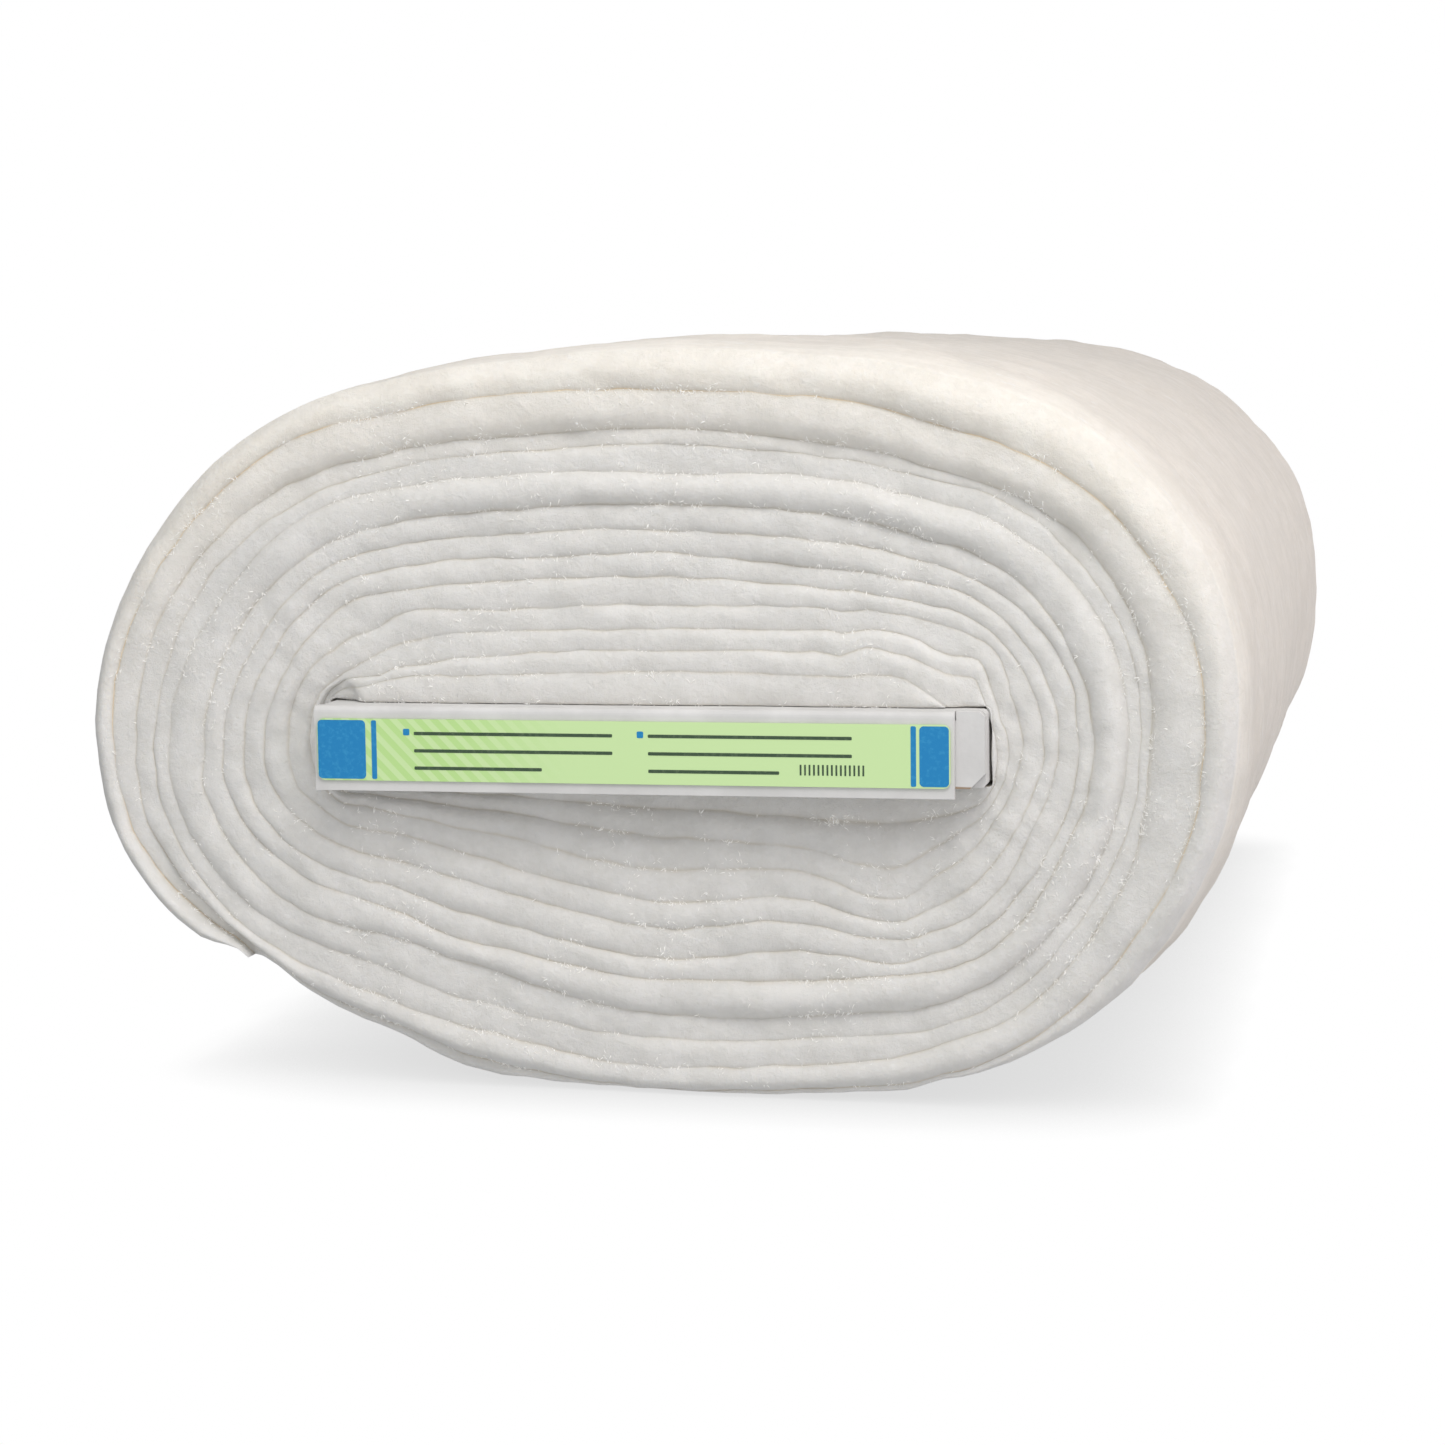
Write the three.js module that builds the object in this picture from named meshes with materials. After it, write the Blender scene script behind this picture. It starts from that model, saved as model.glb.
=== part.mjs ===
// Roll of quilt batting on a flat cardboard bolt board, at real size in millimetres, +Z up.
// The batting is folded twice along its length and wound round the board. X runs along the
// board's width, Y along the roll, and the end with the label faces -Y.
// The origin is on the surface that the roll rests on, below the middle of its box.
import * as THREE from 'three';
import { mergeVertices } from 'three/addons/utils/BufferGeometryUtils.js';

// Batting 90 in wide is folded in half twice, so the roll is a quarter of that long.
const CLOTH_WIDTH = 2286;
const ROLL_LENGTH = CLOTH_WIDTH / 4;
const GAP = 0.3;

// The bolt board: a folded cardboard box, a little longer than the roll.
const BOARD_WIDTH = 206;
const BOARD_THICKNESS = 23;
const BOARD_PROUD = 5;
const BOARD_LENGTH = ROLL_LENGTH + 2 * BOARD_PROUD;
const BOARD_EDGE_RADIUS = 1.5;
const BOARD_TILT = THREE.MathUtils.degToRad(0.7);
const BOARD_CENTRE = { x: 0.1, z: 2.3 };

// The tuck flap covers most of the board's end and hangs a little below it.
const FLAP_THICKNESS = 2.4;
const FLAP_WIDTH = 197.2;
const FLAP_OVERHANG = 2.8;
const FLAP_FOLD_RADIUS = 1.8;
const SIDE_FLAP_WIDTH = 42;
const SIDE_FLAP_CORNER = 4.5;

// The label is a paper sticker on the tuck flap.
const LABEL_WIDTH = 195.2;
const LABEL_HEIGHT = 19;
const LABEL_THICKNESS = 0.4;
const LABEL_RADIUS = 2.2;
const LABEL_DROP = 3.6;

// The turns are laid out on rays that leave a flat middle line: upwards along its top,
// fanning round its left end, downwards along its bottom and round its right end.
const TRACK_HALF = 90;
const TOP_STEPS = 9;
const FAN_STEPS = 12;
const TURN_STEPS = 2 * (TOP_STEPS + FAN_STEPS);
const TAIL_FAN_STEPS = 10;
const ACROSS = 3;

// The cloth's first end lies at the right of the board's top, and its last end, the tail, at
// the lower left. The strand is followed from the tail inwards.
const TURNS = 12;
const STRAND_STEPS = TURNS * TURN_STEPS + TAIL_FAN_STEPS + TOP_STEPS;

// Depths of the end face: seams lie behind the folds, and the rim is rounded.
const GROOVE = 3.2;
const RIM = 4.5;
const POCKET_GAP = 0.5;
const POCKET_SLACK = 1.6;

// The roll rests on a small flat spot, this far below the middle line.
const REST_DROP = 106;

// Where each column of the turn table stands, in steps from the tail.
const COLUMN_STEP = {
  tail: 0,
  left: 4,
  upperLeft: 7,
  topLeft: 10,
  topLeftMiddle: 11.5,
  top: 14.5,
  topRightMiddle: 17.5,
  topRight: 19,
  upperRight: 22,
  right: 25,
  lowerRight: 28,
  bottomRight: 31,
  buckle: 31.75,
  bottom: 35.5,
  bottomLeftMiddle: 38.5,
  bottomLeft: 40,
};

// The outer face of each turn, as its distance from the middle line at each column. The
// first row is the outermost turn. The columns are in the order of COLUMN_STEP.
const TURN_ROWS = [
  [81.5, 88, 94.3, 111.4, 118.1, 124, 122.5, 117.5, 103, 90, 88, 99.5, 104.5, 107, 103, 90.5],
  [78.8, 81, 86, 100, 105.9, 109.2, 105.9, 98, 85.3, 76.5, 78.4, 96.5, 101, 104, 97.4, 87],
  [76.3, 75, 77.5, 87.8, 93.3, 97.2, 92.6, 84.8, 73.7, 64.5, 68.4, 87.3, 92.6, 97.4, 88.2, 78.7],
  [72, 69.2, 70.8, 82.5, 88.6, 92.4, 88.6, 81.7, 68.7, 60.3, 63.2, 81.3, 85.2, 89, 79.5, 69.2],
  [65.7, 63.6, 64.2, 77, 81.9, 84.4, 81.9, 75.5, 62.6, 56, 57.4, 74.5, 78.2, 81.8, 67.6, 59.7],
  [56.8, 52.5, 54.6, 65.5, 71.4, 74.7, 71.1, 63.9, 50.5, 45, 47.4, 65, 67.3, 69.7, 60.8, 49.7],
  [47.8, 46, 47.5, 58.8, 63.9, 67.4, 63.9, 57.2, 46, 40, 42.3, 58.7, 63.4, 63.6, 52.4, 43.4],
  [41.4, 39.2, 41.2, 52.4, 56.7, 59.7, 56.7, 51.7, 40, 35.5, 35.8, 52.4, 56, 54.3, 42.4, 35],
  [33.5, 32.7, 34.6, 45.5, 49.7, 53, 51.1, 45.6, 34.2, 29.5, 30.5, 44.5, 50.5, 46, 33.9, 27.1],
  [26.3, 26.3, 28.7, 34.4, 41.4, 44.8, 43.9, 39.4, 27.4, 23.5, 24.2, 34, 44, 36, 26, 20.5],
  [21.4, 21.4, 23.6, 26.1, 34.4, 37.3, 37.2, 32.2, 23, 19, 20.2, 26, 35, 26.6, 20, 16.6],
  [18.4, 18.4, 20.6, 20.6, 27.8, 31.2, 31.6, 25.6, 20.4, 16, 17.4, 17.6, 21, 17.8, 15.6, 14],
  [16.4, 16.2, 18.6, 17.8, 21.7, 24, 25, 17.8],
];

// How far each turn's fold stands in front of the plain end, at its top, right and bottom.
const PROUD_ROWS = [
  { top: 0, right: 0, bottom: -14 },
  { top: -0.5, right: -1, bottom: 0 },
  { top: -6, right: -5, bottom: -1.5 },
  { top: -5.5, right: -5, bottom: -2.5 },
  { top: 0, right: 0, bottom: 0 },
  { top: -4, right: -3.5, bottom: -2.5 },
  { top: -4, right: -3.5, bottom: -3 },
  { top: -4, right: -3, bottom: -3.5 },
  { top: -2.5, right: -3, bottom: -4 },
  { top: -2, right: -4, bottom: -5 },
  { top: -1, right: -6, bottom: -6 },
  { top: 0, right: -20, bottom: -9 },
  { top: 1, right: 0, bottom: 0 },
];
const PROUD_STEP = { top: 14.5, right: 25, bottom: 35.5 };

// A smooth curve through knots, given as pairs of a strand step and a value.
function curveThrough(knots) {
  const slope = knots.map((knot, i) => {
    const before = knots[Math.max(i - 1, 0)];
    const after = knots[Math.min(i + 1, knots.length - 1)];
    return (after[1] - before[1]) / (after[0] - before[0]);
  });
  return (step) => {
    let i = 0;
    while (i < knots.length - 2 && knots[i + 1][0] < step) i += 1;
    const span = knots[i + 1][0] - knots[i][0];
    const t = THREE.MathUtils.clamp((step - knots[i][0]) / span, 0, 1);
    const rise = knots[i + 1][1] - knots[i][1];
    const bend = (1 - t) * (slope[i] * span - rise) - t * (slope[i + 1] * span - rise);
    return knots[i][1] + t * rise + t * (1 - t) * bend;
  };
}

// Lays the rows of a table end to end along the strand, a turn for each row.
function rowKnots(rows, columnSteps, valueOf) {
  const knots = [];
  rows.forEach((row, turn) => {
    columnSteps.forEach((column, i) => {
      const value = valueOf(row, i);
      if (value !== undefined) knots.push([turn * TURN_STEPS + column, value]);
    });
  });
  return knots;
}

const outerFace = curveThrough(
  rowKnots(TURN_ROWS, Object.values(COLUMN_STEP), (row, i) => row[i]),
);
const proudness = curveThrough(
  rowKnots(PROUD_ROWS, Object.values(PROUD_STEP), (row, i) => row[Object.keys(PROUD_STEP)[i]]),
);

// The ray of a strand step: its foot on the middle line and its direction.
function rayAt(step) {
  const fanAngle = Math.PI / FAN_STEPS;
  const pitch = (2 * TRACK_HALF) / TOP_STEPS;
  let s = (step + FAN_STEPS - TAIL_FAN_STEPS) % TURN_STEPS;
  if (s < FAN_STEPS) {
    const angle = -Math.PI / 2 - s * fanAngle;
    return { x: -TRACK_HALF, dx: Math.cos(angle), dz: Math.sin(angle) };
  }
  s -= FAN_STEPS;
  if (s < TOP_STEPS) return { x: -TRACK_HALF + s * pitch, dx: 0, dz: 1 };
  s -= TOP_STEPS;
  if (s < FAN_STEPS) {
    const angle = Math.PI / 2 - s * fanAngle;
    return { x: TRACK_HALF, dx: Math.cos(angle), dz: Math.sin(angle) };
  }
  s -= FAN_STEPS;
  return { x: TRACK_HALF - s * pitch, dx: 0, dz: -1 };
}

// The distance along a ray at which it leaves the pocket that the board fills. The pocket
// is slack at the board's right edge.
function pocketDistance(ray) {
  const cos = Math.cos(BOARD_TILT);
  const sin = Math.sin(BOARD_TILT);
  const fromX = ray.x - BOARD_CENTRE.x;
  const fromZ = -BOARD_CENTRE.z;
  const x = fromX * cos + fromZ * sin;
  const z = fromZ * cos - fromX * sin;
  const dx = ray.dx * cos + ray.dz * sin;
  const dz = ray.dz * cos - ray.dx * sin;
  const halfWidth = BOARD_WIDTH / 2 + (dx > 0 ? POCKET_SLACK : POCKET_GAP);
  const halfHeight = BOARD_THICKNESS / 2 + POCKET_GAP;
  const toSide = Math.abs(dx) < 1e-3 ? Infinity : (Math.sign(dx) * halfWidth - x) / dx;
  const toFace = Math.abs(dz) < 1e-3 ? Infinity : (Math.sign(dz) * halfHeight - z) / dz;
  return Math.min(toSide, toFace);
}

// The same distance for a ray of a fan, long enough for the chord between it and the next
// ray to clear the board's corner.
function pocketReach(ray) {
  const angle = Math.atan2(ray.dz, ray.dx);
  const swing = Math.PI / FAN_STEPS / 2;
  const isFlat = Math.abs(ray.x) < TRACK_HALF;
  const turns = isFlat ? [0] : [-swing, 0, swing];
  const reaches = turns.map((turn) => pocketDistance({
    x: ray.x,
    dx: Math.cos(angle + turn),
    dz: Math.sin(angle + turn),
  }));
  return Math.max(...reaches);
}

// A point in X and Z on a ray, kept above the flat spot that the roll rests on.
function pointOnRay(ray, distance) {
  const drop = ray.dz < 0 ? REST_DROP / -ray.dz : Infinity;
  const d = Math.min(distance, drop);
  return [ray.x + ray.dx * d, ray.dz * d];
}

// How far a point of the end face lies behind the plain end: 0 across is a turn's outer
// face and ACROSS its inner one.
function frontDepth(step, across) {
  const crest = -proudness(step);
  if (across > 0 && across < ACROSS) return crest;
  const outside = across === 0 ? step - TURN_STEPS : step;
  const inside = outside + TURN_STEPS;
  if (outside < 0) return -proudness(inside) + RIM;
  if (inside > STRAND_STEPS) return -proudness(outside) + RIM;
  return Math.max(-proudness(outside), -proudness(inside)) + GROOVE;
}

// The same for the plain back end, whose turns all end level.
function backDepth(step, across) {
  if (across > 0 && across < ACROSS) return 0;
  const outside = across === 0 ? step - TURN_STEPS : step;
  return outside < 0 || outside + TURN_STEPS > STRAND_STEPS ? RIM : GROOVE;
}

// One end of the roll as a grid of vertices along the strand and across each turn. Turns
// that touch share the vertices of their seam.
function endGrid(position, yOf) {
  const seam = new Map();
  const addVertex = (step, across) => {
    const ray = rayAt(step);
    const outer = outerFace(step);
    const innerStep = step + TURN_STEPS;
    const inner = innerStep > STRAND_STEPS ? pocketReach(ray) : outerFace(innerStep);
    const [x, z] = pointOnRay(ray, THREE.MathUtils.lerp(outer, inner, across / ACROSS));
    position.push(x, yOf(step, across), z);
    return position.length / 3 - 1;
  };
  const grid = [];
  for (let step = 0; step <= STRAND_STEPS; step += 1) {
    grid.push([]);
    for (let across = 0; across < ACROSS; across += 1) {
      const known = across === 0 ? seam.get(step) : undefined;
      grid[step].push(known ?? addVertex(step, across));
    }
    grid[step].push(addVertex(step, ACROSS));
    if (step + TURN_STEPS <= STRAND_STEPS) seam.set(step + TURN_STEPS, grid[step][ACROSS]);
  }
  return grid;
}

// The loops where the end grids meet the roll's outer wall and the pocket's wall.
function outerLoop(grid) {
  const loop = grid.slice(0, TURN_STEPS + 1).map((column) => column[0]);
  for (let across = ACROSS - 1; across > 0; across -= 1) loop.push(grid[0][across]);
  return loop;
}

function pocketLoop(grid) {
  const loop = grid.slice(STRAND_STEPS - TURN_STEPS + 1).map((column) => column[ACROSS]);
  for (let across = ACROSS - 1; across >= 0; across -= 1) loop.push(grid[STRAND_STEPS][across]);
  return loop;
}

// The wound cloth as one closed solid: two ridged ends, an outer wall and a pocket.
function rollGeometry() {
  const position = [];
  const index = [];
  const half = ROLL_LENGTH / 2;
  const front = endGrid(position, (step, across) => -half + frontDepth(step, across));
  const back = endGrid(position, (step, across) => half - backDepth(step, across));
  const quad = (a, b, c, d) => index.push(a, b, c, a, c, d);
  for (let i = 0; i < STRAND_STEPS; i += 1) {
    for (let j = 0; j < ACROSS; j += 1) {
      quad(front[i][j], front[i][j + 1], front[i + 1][j + 1], front[i + 1][j]);
      quad(back[i][j], back[i + 1][j], back[i + 1][j + 1], back[i][j + 1]);
    }
  }
  const wall = (frontLoop, backLoop, outward) => {
    frontLoop.forEach((a, i) => {
      const next = (i + 1) % frontLoop.length;
      const b = frontLoop[next];
      if (outward) quad(a, b, backLoop[next], backLoop[i]);
      else quad(b, a, backLoop[i], backLoop[next]);
    });
  };
  wall(outerLoop(front), outerLoop(back), true);
  wall(pocketLoop(front), pocketLoop(back), false);
  const geometry = new THREE.BufferGeometry();
  geometry.setAttribute('position', new THREE.Float32BufferAttribute(position, 3));
  geometry.setIndex(index);
  return geometry;
}

// A rectangle with cut or rounded corners, given as radii in the order lower left, lower
// right, upper right, upper left.
function roundedRectangle(width, height, radii, curveSteps = 4) {
  const shape = new THREE.Shape();
  const corners = [
    { x: -width / 2, z: -height / 2, from: Math.PI },
    { x: width / 2, z: -height / 2, from: 1.5 * Math.PI },
    { x: width / 2, z: height / 2, from: 0 },
    { x: -width / 2, z: height / 2, from: 0.5 * Math.PI },
  ];
  corners.forEach(({ x, z, from }, i) => {
    const r = radii[i];
    const cx = x - Math.sign(x) * r;
    const cz = z - Math.sign(z) * r;
    for (let k = 0; k <= curveSteps; k += 1) {
      const angle = from + (k / curveSteps) * (Math.PI / 2);
      const point = [cx + r * Math.cos(angle), cz + r * Math.sin(angle)];
      if (i === 0 && k === 0) shape.moveTo(...point);
      else shape.lineTo(...point);
    }
  });
  return shape;
}

// Extrudes an outline drawn in X and Z towards +Y, from the given place.
function extrudeAlongY(shape, depth, fromY) {
  const geometry = new THREE.ExtrudeGeometry(shape, { depth, bevelEnabled: false });
  geometry.rotateX(Math.PI / 2);
  geometry.translate(0, fromY + depth, 0);
  return geometry;
}

// A named mesh with its equal vertices merged and a plain finish.
function plainMesh(name, geometry, colour, roughness) {
  geometry.deleteAttribute('normal');
  geometry.deleteAttribute('uv');
  const merged = mergeVertices(geometry, 1e-3);
  merged.computeVertexNormals();
  const material = new THREE.MeshStandardMaterial({ color: colour, roughness, metalness: 0 });
  const mesh = new THREE.Mesh(merged, material);
  mesh.name = name;
  return mesh;
}

function battingRoll() {
  return plainMesh('batting_roll', rollGeometry(), 0xece8e0, 0.95);
}

function boltBoard() {
  const corner = BOARD_EDGE_RADIUS;
  const shape = roundedRectangle(BOARD_WIDTH, BOARD_THICKNESS, [corner, corner, corner, corner], 3);
  const geometry = extrudeAlongY(shape, BOARD_LENGTH, -BOARD_LENGTH / 2);
  return plainMesh('bolt_board', geometry, 0xd6d6d4, 0.8);
}

const SIDE_FLAP_FRONT = -BOARD_LENGTH / 2 - GAP - FLAP_THICKNESS;
const TUCK_FLAP_FRONT = SIDE_FLAP_FRONT - GAP - FLAP_THICKNESS;
const TUCK_FLAP_RIGHT = -BOARD_WIDTH / 2 + FLAP_WIDTH;

// The small flap that is folded in from the right, mostly behind the tuck flap.
function sideFlap() {
  const right = BOARD_WIDTH / 2;
  const left = right - SIDE_FLAP_WIDTH;
  const top = BOARD_THICKNESS / 2;
  const underLip = top - FLAP_THICKNESS - GAP;
  const shape = new THREE.Shape();
  shape.moveTo(left, -top);
  shape.lineTo(right - SIDE_FLAP_CORNER, -top);
  shape.lineTo(right, -top + SIDE_FLAP_CORNER);
  shape.lineTo(right, top - BOARD_EDGE_RADIUS);
  shape.lineTo(right - BOARD_EDGE_RADIUS, top);
  shape.lineTo(TUCK_FLAP_RIGHT + GAP, top);
  shape.lineTo(TUCK_FLAP_RIGHT + GAP, underLip);
  shape.lineTo(left, underLip);
  shape.closePath();
  const geometry = extrudeAlongY(shape, FLAP_THICKNESS, SIDE_FLAP_FRONT);
  return plainMesh('side_flap', geometry, 0xd2d0ce, 0.8);
}

// The tuck flap leaves the board's top edge, where its fold is rounded, and hangs down.
function tuckFlap() {
  const top = BOARD_THICKNESS / 2;
  const bottom = -top - FLAP_OVERHANG;
  const front = TUCK_FLAP_FRONT;
  const fold = FLAP_FOLD_RADIUS;
  const foldSteps = 4;
  const profile = new THREE.Shape();
  profile.moveTo(front + FLAP_THICKNESS, bottom);
  profile.lineTo(front + FLAP_THICKNESS, top - FLAP_THICKNESS);
  profile.lineTo(-BOARD_LENGTH / 2 - GAP, top - FLAP_THICKNESS);
  profile.lineTo(-BOARD_LENGTH / 2 - GAP, top);
  for (let k = 0; k <= foldSteps; k += 1) {
    const angle = (k / foldSteps) * (Math.PI / 2);
    profile.lineTo(front + fold - fold * Math.sin(angle), top - fold + fold * Math.cos(angle));
  }
  profile.lineTo(front, bottom);
  profile.closePath();
  const geometry = new THREE.ExtrudeGeometry(profile, { depth: FLAP_WIDTH, bevelEnabled: false });
  const alongX = new THREE.Vector3(1, 0, 0);
  const alongY = new THREE.Vector3(0, 1, 0);
  const alongZ = new THREE.Vector3(0, 0, 1);
  geometry.applyMatrix4(new THREE.Matrix4().makeBasis(alongY, alongZ, alongX));
  geometry.translate(-BOARD_WIDTH / 2, 0, 0);
  return plainMesh('tuck_flap', geometry, 0xd9dad8, 0.8);
}

function label() {
  const radii = [LABEL_RADIUS, LABEL_RADIUS, LABEL_RADIUS, LABEL_RADIUS];
  const shape = roundedRectangle(LABEL_WIDTH, LABEL_HEIGHT, radii);
  const frontY = TUCK_FLAP_FRONT - GAP - LABEL_THICKNESS;
  const geometry = extrudeAlongY(shape, LABEL_THICKNESS, frontY);
  const middleX = -BOARD_WIDTH / 2 + FLAP_WIDTH / 2;
  geometry.translate(middleX, 0, BOARD_THICKNESS / 2 - LABEL_DROP - LABEL_HEIGHT / 2);
  return plainMesh('label', geometry, 0xc5e1a6, 0.55);
}

const board = new THREE.Group();
board.add(boltBoard(), sideFlap(), tuckFlap(), label());
board.rotation.y = -BOARD_TILT;
board.position.set(BOARD_CENTRE.x, 0, BOARD_CENTRE.z);

const part = new THREE.Group();
part.add(battingRoll(), board);
const box = new THREE.Box3().setFromObject(part, true);
part.position.set(-(box.min.x + box.max.x) / 2, -(box.min.y + box.max.y) / 2, REST_DROP);

export default part;
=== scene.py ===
"""A roll of quilt batting, wound round a flat cardboard bolt board, for a studio picture.

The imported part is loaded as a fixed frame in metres. The batting is then remade in fine detail in
the space of its plain solid, the board is dressed as cardboard, and the label gets a plain print.
The sizes of the roll, the board and the print are in millimetres. Those of the camera, the studio
and the label's stripes are in metres, and a finish's noises have their scale for each metre.
"""

import logging
import math
from dataclasses import dataclass, field
from enum import Enum
from functools import cached_property

import bmesh
import bpy
import numpy as np
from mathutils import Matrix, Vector


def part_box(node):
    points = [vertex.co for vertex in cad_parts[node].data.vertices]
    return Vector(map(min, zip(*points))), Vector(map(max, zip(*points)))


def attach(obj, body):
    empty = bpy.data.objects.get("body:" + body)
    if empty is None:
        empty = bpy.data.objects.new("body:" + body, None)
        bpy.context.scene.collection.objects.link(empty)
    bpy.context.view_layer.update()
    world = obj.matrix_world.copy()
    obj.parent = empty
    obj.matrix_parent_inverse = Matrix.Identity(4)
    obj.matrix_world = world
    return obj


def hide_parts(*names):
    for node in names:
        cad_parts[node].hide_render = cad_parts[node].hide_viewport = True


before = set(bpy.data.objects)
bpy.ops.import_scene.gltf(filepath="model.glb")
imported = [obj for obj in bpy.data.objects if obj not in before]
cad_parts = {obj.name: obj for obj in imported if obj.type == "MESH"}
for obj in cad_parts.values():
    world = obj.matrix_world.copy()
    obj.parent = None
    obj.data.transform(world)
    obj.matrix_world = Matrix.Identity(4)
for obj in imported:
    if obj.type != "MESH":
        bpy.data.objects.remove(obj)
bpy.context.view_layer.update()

log = logging.getLogger("batting_roll")

MM = 0.001

# The stored value at which the cream colour and its painted highlight are full. Above it, on the roll's
# side, painted shade is added as well.
CREAM_HIGHLIGHT_FULL = 0.6

# How far the board and all on it are turned, rising to the right.
BOARD_TILT = math.radians(0.7)


class Column(Enum):
    """Places round a turn, in steps from the tail, where the turn table gives a value."""

    TAIL = 0.0
    LEFT = 4.0
    UPPER_LEFT = 7.0
    TOP_LEFT = 10.0
    TOP_LEFT_MIDDLE = 11.5
    TOP = 14.5
    TOP_RIGHT_MIDDLE = 17.5
    TOP_RIGHT = 19.0
    UPPER_RIGHT = 22.0
    RIGHT = 25.0
    LOWER_RIGHT = 28.0
    BOTTOM_RIGHT = 31.0
    BUCKLE = 31.75
    BOTTOM = 35.5
    BOTTOM_LEFT_MIDDLE = 38.5
    BOTTOM_LEFT = 40.0


# The outer face of each turn, as its distance from the roll's middle line at each column. The
# first row is the outermost turn.
TURN_ROWS = (
    (83.0, 91.5, 96.3, 111.9, 118.1, 124, 122.5, 117.5, 103, 90, 88, 99.5, 104.5, 107, 103, 90.5),
    (78.8, 83.9, 87, 100, 105.9, 109.2, 105.9, 98, 85.3, 76.9, 78.4, 96.5, 101, 105.4, 97.8, 87),
    (76.3, 77.0, 78.0, 87.8, 93.3, 97.2, 92.6, 84.8, 72.0, 60.6, 67.6, 87.3, 92.6, 97.4, 88.2, 78.7),
    (72, 70.4, 71.3, 82.5, 88.6, 92.4, 88.6, 81.7, 67.4, 57.6, 62.0, 81.3, 85.2, 89, 79.5, 69.2),
    (65.7, 65.4, 64.9, 77, 81.9, 84.4, 81.9, 75.5, 61.9, 54.4, 56.8, 74.5, 78.2, 81.4, 67.6, 59.7),
    (56.8, 53.7, 55.0, 65.5, 71.4, 74.7, 71.1, 63.9, 50.0, 43.8, 46.8, 65, 67.3, 70.3, 60.8, 49.7),
    (47.8, 47.5, 48.0, 58.8, 63.9, 67.0, 62.9, 56.7, 45.7, 39.4, 42.0, 58.7, 63.4, 64.3, 52.4, 43.4),
    (41.4, 41.0, 41.8, 52.4, 56.7, 59.5, 55.3, 50.7, 39.0, 33.6, 34.8, 52.4, 56, 54.8, 42.4, 35),
    (33.5, 33.9, 35.0, 45.5, 49.7, 52.6, 49.3, 44.6, 33.9, 28.9, 30.1, 44.5, 50.5, 47.0, 33.9, 27.1),
    (26.3, 26.9, 28.9, 34.4, 41.4, 44.2, 42.9, 38.9, 27.0, 22.4, 23.4, 34, 44, 37, 26, 20.5),
    (21.4, 19.8, 21.8, 26.1, 34.4, 36.9, 36.4, 31.0, 21.6, 18.1, 19.4, 26, 35, 26.9, 20, 16.6),
    (18.4, 17.0, 20.2, 20.6, 27.4, 30.3, 30.5, 24.8, 18.2, 15.4, 17.0, 17.6, 21, 18.4, 15.6, 14),
    (16.4, 15.8, 19.0, 17.6, 21.7, 24, 24.0, 15.2),
)

# The same for places between the columns, such as the innermost turns' bends over the board's top
# corners: which turn, then pairs of a step and a distance.
CORNER_KNOTS = (
    (0, ((2.7, 91.0),)),
    (1, ((2.7, 83.9),)),
    (2, ((2.7, 78.2),)),
    (3, ((2.7, 71.8),)),
    (4, ((2.7, 66.7),)),
    (5, ((2.7, 56.8),)),
    (6, ((2.7, 49.2), (33.3, 60.4))),
    (7, ((2.7, 42.8), (33.3, 51.8))),
    (8, ((2.7, 35.6), (33.3, 44.5))),
    (9, ((2.7, 27.6), (33.3, 36.2))),
    (10, ((33.3, 28.6),)),
    (9, ((10.5, 39.5), (10.9, 41.2), (17.1, 43.9), (17.8, 43.5), (18.5, 41.6), (20.0, 37.0))),
    (9, ((20.6, 35.4), (21.7, 28.8))),
    (10, ((8.7, 23.2), (10.3, 29.6), (10.9, 32.7), (17.1, 37.5), (17.8, 37.4), (18.5, 35.4))),
    (10, ((19.6, 30.8), (20.3, 31.0), (21.1, 25.2), (22.7, 19.9))),
    (11, ((8.7, 20.4), (10.4, 22.8), (10.9, 25.0), (17.1, 31.0), (17.7, 32.8), (18.1, 31.8))),
    (11, ((18.4, 30.4), (18.75, 26.8), (19.7, 25.0), (20.3, 25.6), (20.7, 23.2), (21.3, 20.6))),
    (12, ((9.3, 17.2), (10.3, 19.8), (10.9, 21.4), (17.1, 24.2), (17.9, 24.5), (18.35, 23.6))),
    (12, ((18.64, 20.2),)),
)

# How far the roll's rim is drawn in at its ends: a step of the outermost turn, and the pull there.
RIM_PULL = (
    (0.8, 0.2),
    (4.0, 0.6),
    (10.0, 2.0),
    (14.5, 2.8),
    (19.0, 4.5),
    (25.0, 4.6),
    (27.0, 2.8),
    (29.0, 1.0),
    (36.0, 0.4),
    (42.0, 0.0),
)

# How far each turn's fold stands in front of the plain end: at the tail's place, at its left, top
# and right, before the bottom and at the bottom.
PROUD_COLUMNS = (0.8, 4.0, 14.5, 25.0, 30.0, 35.5)
PROUD_ROWS = (
    (-1.5, -2.0, 0.0, 0.0, -3.0, -6.5),
    (-7.5, -3.0, -0.5, -1.0, -1.0, 0.0),
    (-3.0, -3.5, -3.7, -4.2, -3.2, -1.5),
    (-4.0, -3.5, -3.4, -4.2, -3.6, -2.5),
    (-2.5, -2.5, -0.4, -0.8, 0.0, 0.0),
    (-2.5, -3.0, -2.6, -3.0, -2.5, -2.0),
    (-2.5, -3.0, -2.8, -3.0, -2.5, -2.5),
    (-2.5, -3.0, -3.0, -3.0, -2.5, -3.0),
    (-3.0, -3.0, -2.5, -3.0, -3.0, -4.0),
    (-3.5, -3.5, -2.0, -3.5, -4.0, -4.5),
    (-4.5, -5.5, -1.0, -2.5, -4.0, -6.0),
    (-7.5, -9.0, 0.0, -2.0, -5.5, -8.0),
    (-9.0, -10.0, 0.6),
)

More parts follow.
